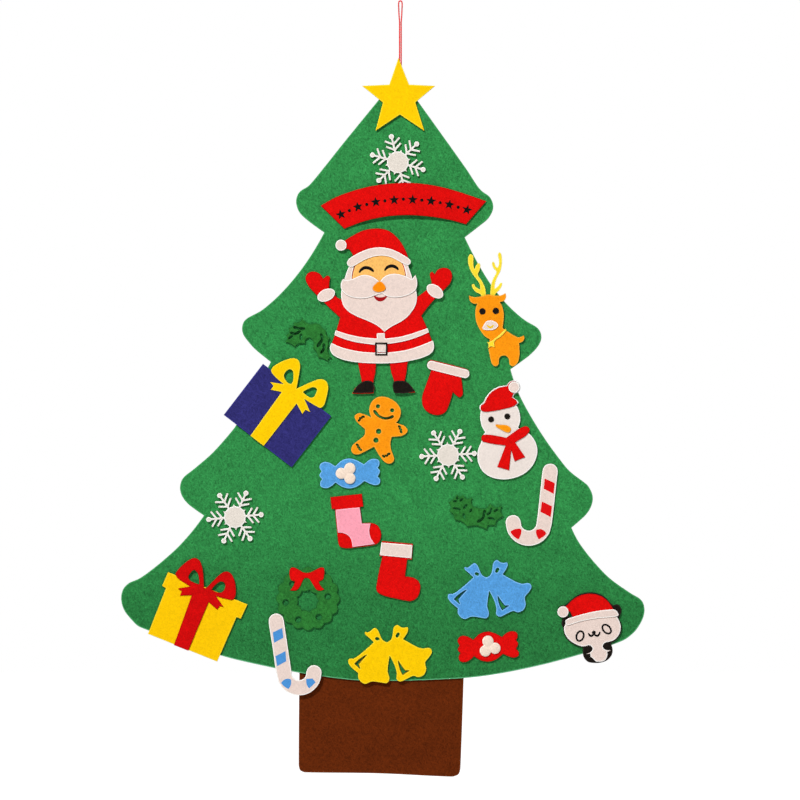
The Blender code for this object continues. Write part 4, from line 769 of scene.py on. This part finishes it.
PANEL_FELT, GAP = 3.0 * MM, 0.3 * MM
STRAND_GAP = 0.5 * MM
HOLE_DIAMETER = 6.0 * MM
EYE_WIDTH, EYE_LENGTH, EYE_BEND = 4.3 * MM, 28.0 * MM, 1.4 * MM
PANEL_FRONT = CORD_DIAMETER / 2 + GAP
PANEL_BACK = PANEL_FRONT + PANEL_FELT
KNOT_WIDTH, KNOT_HEIGHT, KNOT_DEPTH = 9.0 * MM, 7.8 * MM, 2.9 * MM
EYE_TOP_SHARES = [(0, 0), (0.72, 0.45), (1, 1.6)]  # of half the eye's width, and of its bend
EYE_SIDE_SHARES = [(1, 0.35), (0.8, 0.7)]  # of half the eye's width, and of its length
STRAND_SHARES = [0.5, 0.8]  # of the drop from the nail to the hole
HOLE_SHARES = [(0, 1), (0, 0.42), (0.3, 0.2), (1, 0.06)]  # of the panel's depth, and of the hole
CORD_STEP = 0.45 * MM
PLY_RADIUS, PLY_OFFSET = 0.74 * MM, 0.27 * MM
TWIST_LENGTH = 4.4 * MM


def cord_route():
    """The cord from the knot, up one strand, over the nail and down the other."""
    side = (CORD_DIAMETER + STRAND_GAP) / 2
    eye, top = EYE_WIDTH / 2, CORD_DIAMETER / 2
    route = [(eye * x, 0, top - EYE_BEND * z) for x, z in EYE_TOP_SHARES]
    route += [(eye * x, 0, -EYE_LENGTH * z) for x, z in EYE_SIDE_SHARES]
    route += [(side, 0, -EYE_LENGTH), (side, 0, -EYE_LENGTH - HOLE_DIAMETER)]
    route += [(side, 0, -HANG_DROP * z) for z in STRAND_SHARES]
    route += [(side, PANEL_FRONT * y, HOLE_DIAMETER * z - HANG_DROP) for y, z in HOLE_SHARES]
    middle = (PANEL_FRONT + PANEL_BACK) / 2
    route += [(side, middle, -HANG_DROP), (side, PANEL_BACK + GAP, -HANG_DROP)]
    return [(-x, y, z) for x, y, z in reversed(route[1:])] + route


def smooth_path(points, step):
    """Evenly spaced points on a smooth curve through the given ones."""
    spots = [Vector(p) for p in points]
    spots = [spots[0] * 2 - spots[1], *spots, spots[-1] * 2 - spots[-2]]
    fine = []
    for before, a, b, after in zip(spots, spots[1:], spots[2:], spots[3:]):
        reach = (b - a).length / 3
        leave = ((a - before).normalized() + (b - a).normalized()).normalized() * reach
        arrive = ((b - a).normalized() + (after - b).normalized()).normalized() * reach
        fine += interpolate_bezier(a, a + leave, b - arrive, b, 60)[:-1]
    fine.append(spots[-2])
    path, gone = [fine[0]], 0.0
    for a, b in zip(fine, fine[1:]):
        gone += (b - a).length
        if gone >= step:
            path.append(b)
            gone = 0.0
    return path + [fine[-1]] if gone > step / 2 else path


def tube_sides(start, rows, around):
    """The side faces of a tube that has as many vertices round it in each row."""
    for k in range(rows - 1):
        for i in range(around):
            a, b = start + k * around + i, start + k * around + (i + 1) % around
            yield a, b, b + around, a + around


def twisted_tube(places, faces, path, scale=1.0, phase=0.0, around=14):
    """Adds a two-ply twisted strand along the path to the lists, closed at both ends."""
    ways = [(b - a).normalized() for a, b in zip(path, path[1:])]
    ways.append(ways[-1])
    side = ways[0].orthogonal().normalized()
    gone, start = 0.0, len(places)
    for k, (point, way) in enumerate(zip(path, ways)):
        if k:
            gone += (point - path[k - 1]).length
            side = (side - way * side.dot(way)).normalized()
        other = way.cross(side)
        spin = phase + 2 * math.pi * gone / TWIST_LENGTH
        for i in range(around):
            angle = 2 * math.pi * i / around
            lobe = PLY_OFFSET * abs(math.cos(angle)) + math.sqrt(
                PLY_RADIUS**2 - (PLY_OFFSET * math.sin(angle)) ** 2)
            out = side * math.cos(angle + spin) + other * math.sin(angle + spin)
            places.append(point + out * lobe * scale)
    faces += tube_sides(start, len(path), around)
    last = start + (len(path) - 1) * around
    faces.append(tuple(range(start, start + around))[::-1])
    faces.append(tuple(range(last, last + around)))


def tied_knot():
    """A flat overhand knot that bears on the panel's back, with two cut ends."""
    middle = Vector((0, PANEL_BACK + GAP + KNOT_DEPTH / 2, -HANG_DROP))
    across = (KNOT_WIDTH - CORD_DIAMETER) / 6
    up = (KNOT_HEIGHT - CORD_DIAMETER) / 5.6
    over = (KNOT_DEPTH - CORD_DIAMETER) / 2
    turns = [2 * math.pi * k / 72 for k in range(73)]
    path = [
        middle + Vector((across * (math.sin(t) + 2 * math.sin(2 * t)), -over * math.sin(3 * t),
                         up * (math.cos(t) - 2 * math.cos(2 * t)) - up * 0.2)) for t in turns
    ]
    places, faces = [], []
    twisted_tube(places, faces, path, 0.98)
    for side, reach in ((-1, 9.0 * MM), (1, 7.5 * MM)):
        start = middle + Vector((side * 1.1 * MM, 0, -2.2 * MM))
        end = start + Vector((side * 2.4 * MM, -0.3 * MM, -reach))
        bow = (start + end) / 2 + Vector((side * 0.9 * MM, 0.25 * MM, 0))
        tail = smooth_path([start, bow, end], CORD_STEP)
        twisted_tube(places, faces, tail, 0.95, side)
    return piece_from("tied_cord_knot", places, faces, finish["cord_red"])


cord_path = smooth_path(cord_route(), CORD_STEP)
places, faces = [], []
twisted_tube(places, faces, cord_path)
hanging_loop = put(piece_from("hanging_cord_loop", places, faces, finish["cord_red"]), "hanger",
                   ["hanging_cord"])
knot = put(tied_knot(), "hanger", ["cord_knot"])

# The felt sheets

BANNER_BOW = 4.0 * MM
STANDS_OFF = {"banner": BANNER_BOW}
BANNER_BOW_PX = (352.0, 456.0)
BOW_ROUNDING = 0.8


def bow(x):
    """How far the banner stands off over the snowflake's tip, at this place along it."""
    low, high = (spot((px, 0)).x for px in BANNER_BOW_PX)
    along = min(max((x - low) / (high - low), 0), 1)
    return -BANNER_BOW * math.sin(math.pi * along) ** BOW_ROUNDING


def pads_behind(node, top):
    """The middles of a sheet's hook pads, from the corners of their backs."""
    found = []
    for vertex in node.data.vertices:
        x, y, z = vertex.co
        if y < top - 0.05 * MM:
            continue
        for group in found:
            if math.hypot(group[0][0] - x, group[0][1] - z) < 2.2 * PAD_RADIUS:
                group.append((x, z))
                break
        else:
            found.append([(x, z)])
    return [tuple(np.mean(sorted(set(group)), axis=0)) for group in found]


BIG = {"tree_panel": 4.5 * MM, "trunk": 4.0 * MM}
front_of, pads_of = {}, {}
for name, node in sorted(frame["nodes"].items()):
    low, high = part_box(name)
    if high.y - low.y > BASE_FELT + 1.0 * MM and name not in BIG and "cord" not in name:
        pads_of[node["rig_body"]] = (name, pads_behind(node, high.y))


def front_at(name):
    """A sheet's front depth at any place on it, as the hanging felt waves and curls."""
    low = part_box(name)[0]
    body = frame["nodes"][name]["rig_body"]
    pads = pads_of[body][1] if body in pads_of else []
    level = low.y + STANDS_OFF.get(name, 0)

    def depth(x, z):
        stand = bow(x) if name == "banner" else 0
        return level + stand + wave(x, z) + lift(body, x, z, pads)

    return depth


# The candies' round dots are padded: each bulges by itself
DOT_RADIUS, DOT_DOME = 5.9 * PX, 2.3 * MM
CANDY_DOT_PX = 5.7


def dots_about(middle, turn):
    """The middles of three dots, as far from their common middle as a dot is wide."""
    angles = [math.radians(turn + 120 * k) for k in range(3)]
    return [(middle[0] + CANDY_DOT_PX * math.cos(a), middle[1] + CANDY_DOT_PX * math.sin(a))
            for a in angles]


DOTS_PX = {
    "blue_candy_dots": dots_about((347.1, 473.3), -60),
    "red_candy_dots": dots_about((489.3, 646.5), -105),
}


def cut_sheet(seed, name, node):
    """Cuts one CAD sheet again in felt and puts it on its body in place of the node."""
    low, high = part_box(name)
    thick = high.y - low.y
    if name not in BIG and thick > BASE_FELT + 1.0 * MM:
        thick = BASE_FELT
    spacing = BIG.get(name, 2.6 * MM)
    step = 1.5 * MM if name in BIG else 1.1 * MM
    reach = 0.3 * MM + STANDS_OFF.get(name, 0)
    loops = [rounded(loop, step) for loop in front_loops(node, reach)]
    front_of[name] = front_at(name)
    edge = min(0.6 * MM, 0.4 * thick)
    swell = None
    if name in DOTS_PX:
        dots = [spot(centre) for centre in DOTS_PX[name]]
        spacing = 1.0 * MM

        def swell(x, z):
            near = min((Vector((x, z)) - dot).length for dot in dots) / DOT_RADIUS
            return DOT_DOME * math.sqrt(max(1 - near**2, 0.0))

    cut = Cut(loops, thick, edge, spacing, seed, front_of[name], 0.07 * MM, swell)
    piece = piece_of("felt_" + name, [cut], OWN_LOOK.get(name, finish[SLOT[name]]))
    put(piece, node["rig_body"], [name])
    size = loops[0].max(axis=0) - loops[0].min(axis=0)
    area = abs(area_of(loops[0])) - sum(abs(area_of(loop)) for loop in loops[1:])
    area = max(area, 0.3 * size[0] * size[1])
    if name == "tree_panel":
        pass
    elif name == "trunk":
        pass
    else:
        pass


felt_names = [name for name in sorted(frame["nodes"]) if name in SLOT and "cord" not in name]
for seed, name in enumerate(felt_names):
    cut_sheet(seed, name, frame["nodes"][name])

# Printed and stuck-on details

PRINT_FILM, PRINT_EDGE, PRINT_SPACING = 0.3 * MM, 0.07 * MM, 1.6 * MM


def bend(before, a, b, after, step):
    """Points from a up to b on a smooth line through all four."""
    reach = (b - a).length / 3
    leave, arrive = ((b - before).normalized() * reach, (after - a).normalized() * reach)
    steps = max(2, round((b - a).length / step))
    return interpolate_bezier(a, a + leave, b - arrive, b, steps + 1)[:-1]


def curve(points, step=0.45):
    """A closed smooth line through pixel points, as places on the tree."""
    count, line = len(points), []
    for i in range(count):
        line += bend(*(Vector(points[(i + k) % count]) for k in (-1, 0, 1, 2)), step)
    return np.array([spot(p) for p in line])


def stroke(points, widths, step=0.4):
    """The outline of a line drawn through pixel points, with its width at each and round ends."""
    spots = [Vector(p) for p in points]
    ends = [spots[0] * 2 - spots[1], *spots, spots[-1] * 2 - spots[-2]]
    line, wide = [], []
    for k in range(len(spots) - 1):
        run = bend(*ends[k : k + 4], step)
        steps = len(run)
        line += run
        wide += [widths[k] + (widths[k + 1] - widths[k]) * i / steps for i in range(steps)]
    line.append(spots[-1])
    wide.append(widths[-1])
    ways = [(line[min(i + 1, len(line) - 1)] - line[max(i - 1, 0)]).normalized()
            for i in range(len(line))]
    left = [p + Vector((w.y, -w.x)) * r / 2 for p, w, r in zip(line, ways, wide)]
    right = [p - Vector((w.y, -w.x)) * r / 2 for p, w, r in zip(line, ways, wide)]
    tips = []
    for end, sense in ((-1, 1), (0, -1)):
        place, way, width = line[end], ways[end], wide[end]
        start = math.atan2(-way.x * sense, way.y * sense)
        tips.append([place + Vector((math.cos(start + t), math.sin(start + t))) * width / 2
                     for t in (math.pi * k / 6 for k in range(1, 6))])
    return np.array([spot(p) for p in left + tips[0] + right[::-1] + tips[1]])


def disc(centre, radius, count=30, tall=1.0, turn=0.0):
    """A round or an oval about a pixel point."""
    c, s = math.cos(math.radians(turn)), math.sin(math.radians(turn))
    line = []
    for k in range(count):
        u = radius * math.cos(2 * math.pi * k / count)
        v = radius * tall * math.sin(2 * math.pi * k / count)
        line.append(spot((centre[0] + u * c - v * s, centre[1] + u * s + v * c)))
    return np.array(line)


def star(centre, outer, inner, turn):
    """A five-pointed star about a pixel point, its first point turned from straight up."""
    line = []
    for k in range(10):
        angle = math.radians(turn - 90 + 36 * k)
        reach = inner if k % 2 else outer
        line.append(spot((centre[0] + reach * math.cos(angle),
                          centre[1] + reach * math.sin(angle))))
    return np.array(line)


def printed(name, shapes, carrier, ink, stand=PRINT_DEPTH, film=PRINT_FILM):
    """Flat shapes laid on a sheet's front, which follow it: each has an outline and its holes."""
    front = front_of[carrier]
    cuts = [
        Cut(shape if isinstance(shape, list) else [shape], film, min(PRINT_EDGE, film / 3),
            PRINT_SPACING, seed, lambda x, z: front(x, z) - stand)
        for seed, shape in enumerate(shapes)
    ]
    return put(piece_of(name, cuts, ink), frame["nodes"][carrier]["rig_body"])


def fine_loop(points):
    """Straight-sided pixel points with small rounds at the corners."""
    return rounded(np.array([spot(p) for p in points]), 1.0 * MM, 0.3 * MM)


SANTA_EYES_PX = [
    [(359.7, 272), (361.6, 269.7), (364, 268.2), (366.8, 267.9), (369.6, 268.6), (371.9, 270),
     (373.1, 271.2)],
    [(385.1, 270.2), (386.8, 268), (389.2, 266.6), (391.7, 266.2), (394.4, 266.7), (396.7, 268),
     (397.9, 269.3)],
]
LID_WIDTHS_PX = [2.0, 2.8, 3.2, 3.3, 3.2, 2.8, 2.0]
lids = [stroke(eye, LID_WIDTHS_PX) for eye in SANTA_EYES_PX]
printed("santa_eyes", lids, "santa_face", black_ink)
SANTA_MOUTH_PX = [
    (374, 296), (377, 297), (380.4, 297.5), (383.8, 297), (387, 296), (385.7, 298.7),
    (383.1, 300.9), (380.3, 301.6), (377.3, 300.8), (375, 298.6),
]
printed("santa_mouth", [curve(SANTA_MOUTH_PX)], "santa_beard", lip_ink)

BUTTON_EYES_PX = {
    "snowman": ("snowman_body", [(491, 419.4), (507.2, 416.4)], 3.0),
    "reindeer": ("reindeer_body", [(482.3, 311.4), (495.7, 311)], 3.2),
}
for animal, (carrier, centres, radius) in BUTTON_EYES_PX.items():
    printed(animal + "_eyes", [disc(centre, radius) for centre in centres], carrier,
            finish["felt_black"], EYE_FELT, EYE_FELT + 0.1 * MM)
printed("reindeer_smile", [stroke([(487.4, 325.8), (488.6, 327), (490.2, 327.5), (491.8, 326.9),
        (493, 325.6)], [1.2, 1.7, 1.9, 1.7, 1.2])], "reindeer_muzzle", yellow_ink)

RED_STRIPES_PX = [
    [(544.6, 478.4), (554.6, 483), (553.5, 493.8), (543.6, 488.6)],
    [(541.9, 501.5), (551.9, 506.1), (550.5, 517), (540.3, 511.6)],
    [(536, 529.9), (540, 529), (543.4, 530.2), (546.2, 533.3), (544.3, 535.7), (541.6, 537.6),
     (538.8, 539.2), (537, 536.4), (536, 533)],
    [(510.4, 531.3), (514.2, 529.3), (518, 528.5), (521.2, 529.2), (521, 533), (520, 536.4),
     (518.4, 539.2), (515.4, 537.6), (512.4, 535)],
]
BLUE_STRIPES_PX = [
    [(272.9, 632.3), (282.3, 627.8), (283.5, 637.5), (274.2, 642.6)],
    [(275.6, 655.9), (285.6, 650.9), (286.3, 661), (277.2, 666)],
    [(281.3, 682.8), (285.4, 679), (290.9, 679.1), (291.1, 683.9), (288.5, 688.7), (283.9, 685.8)],
    [(306.4, 678.7), (312.6, 678.2), (315.7, 682), (309.3, 688.2), (306.7, 683.9)],
]
printed("red_cane_stripes", [fine_loop(s) for s in RED_STRIPES_PX], "red_cane", red_ink)
printed("blue_cane_stripes", [fine_loop(s) for s in BLUE_STRIPES_PX], "blue_cane", blue_ink)

PANDA_EYES_PX = [((579.8, 635.7), 4.5, 5.9 / 4.5, 17), ((606.4, 628.8), 4.4, 6.1 / 4.4, -42)]
panda_face = [
    [disc(centre, wide, 36, tall, turn),
     disc(centre, wide - 1.9, 36, (wide * tall - 1.9) / (wide - 1.9), turn)]
    for centre, wide, tall, turn in PANDA_EYES_PX
]
panda_face.append(disc((593.6, 632.2), 1.9))
panda_face.append(stroke([(588.3, 633.2), (589.2, 634.8), (590.8, 635.6), (592.4, 635),
                          (593.6, 633.5), (595.2, 635), (597.2, 635.4), (598.8, 634.1),
                          (599.5, 632)], [1.4, 1.9, 2.1, 2.0, 1.9, 2.0, 2.1, 1.9, 1.4]))
printed("panda_face", panda_face, "panda_head", black_ink)

# A plain row of stars and dots along the banner's middle
BANNER_LINE_PX = [(341, 214.6), (356, 207.6), (378, 201.8), (403, 199.6), (428, 200.9),
                  (448, 204.4), (467, 210)]
BANNER_STARS, STAR_PX, STAR_WAIST_PX, DOT_PX = 8, 5.4, 2.3, 1.6
banner_spots = np.array(BANNER_LINE_PX)
banner_steps = np.linalg.norm(np.diff(banner_spots, axis=0), axis=1)
banner_gone = np.concatenate([[0], np.cumsum(banner_steps)])
shapes = []
for k in range(2 * BANNER_STARS - 1):
    place = banner_gone[-1] * k / (2 * BANNER_STARS - 2)
    x, y = (float(np.interp(place, banner_gone, banner_spots[:, i])) for i in (0, 1))
    shapes.append(disc((x, y), DOT_PX, 20) if k % 2 else
                  star((x, y), STAR_PX, STAR_WAIST_PX, (x - 404) * 0.22))
printed("banner_stars", shapes, "banner", black_ink)

# Hook tape: round pads with small bent hooks that hold in the panel's felt

HOOK_PITCH, HOOK_WIRE, PAD_BASE = 2.0 * MM, 0.17 * MM, 0.5 * MM


def hook_pad(places, faces, middle, near, far):
    """Adds one pad to the lists: a round base on the felt's back, and its hooks."""
    x, z = middle
    rings = [(PAD_RADIUS - 0.35 * MM, near - 0.05 * MM), (PAD_RADIUS, near + 0.12 * MM),
             (PAD_RADIUS, near + PAD_BASE - 0.12 * MM), (PAD_RADIUS - 0.2 * MM, near + PAD_BASE)]
    count, start = 36, len(places)
    turns = [2 * math.pi * i / count for i in range(count)]
    for reach, y in rings:
        places += [(x + reach * math.cos(t), y, z + reach * math.sin(t)) for t in turns]
    for k in range(len(rings) - 1):
        for i in range(count):
            a, b = start + k * count + i, start + k * count + (i + 1) % count
            faces.append((b, a, a + count, b + count))
    faces.append(tuple(range(start, start + count)))
    faces.append(tuple(range(start + (len(rings) - 1) * count, len(places)))[::-1])
    reach = PAD_RADIUS - 0.9 * MM
    steps = int(reach / HOOK_PITCH)
    for i in range(-steps, steps + 1):
        for j in range(-steps, steps + 1):
            hx, hz = i * HOOK_PITCH, (j + (i % 2) / 2) * HOOK_PITCH
            if math.hypot(hx, hz) < reach:
                hook(places, faces, x + hx, z + hz, near + PAD_BASE - 0.05 * MM, far,
                     1 if j % 2 else -1)


def hook(places, faces, x, z, root, tip, side, around=6):
    """Adds one bent wire to the lists, closed at both ends."""
    top = tip - HOOK_WIRE
    path = [(0.0, root), (0.0, top - 0.22 * MM), (0.10 * MM, top - 0.05 * MM),
            (0.30 * MM, top), (0.48 * MM, top - 0.12 * MM), (0.52 * MM, top - 0.3 * MM)]
    start = len(places)
    for k, (out, y) in enumerate(path):
        before, after = path[max(k - 1, 0)], path[min(k + 1, len(path) - 1)]
        way = Vector((after[0] - before[0], after[1] - before[1])).normalized()
        for i in range(around):
            a = 2 * math.pi * i / around
            u, v = HOOK_WIRE * math.cos(a), HOOK_WIRE * math.sin(a)
            places.append((x + v, y - way.x * u, z + side * (out + way.y * u)))
    faces += [face[:: side] for face in tube_sides(start, len(path), around)]
    faces.append(tuple(range(start, start + around))[:: -side])
    faces.append(tuple(range(start + (len(path) - 1) * around, len(places)))[:: side])


for body, (base, centres) in sorted(pads_of.items()):
    places, faces = [], []
    low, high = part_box(base)
    deep = high.y - low.y - STANDS_OFF.get(base, 0) - BASE_FELT
    for x, z in centres:
        near = front_of[base](x, z) + BASE_FELT
        hook_pad(places, faces, (x, z), near, near + deep)
    put(piece_from("hook_pads_" + body, places, faces, hook_nylon), body)

for (low, high), key in ((cad_box, "cad"), (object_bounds(), "visual")):
    print(key, [round(c, 4) for c in (*low, *high)])
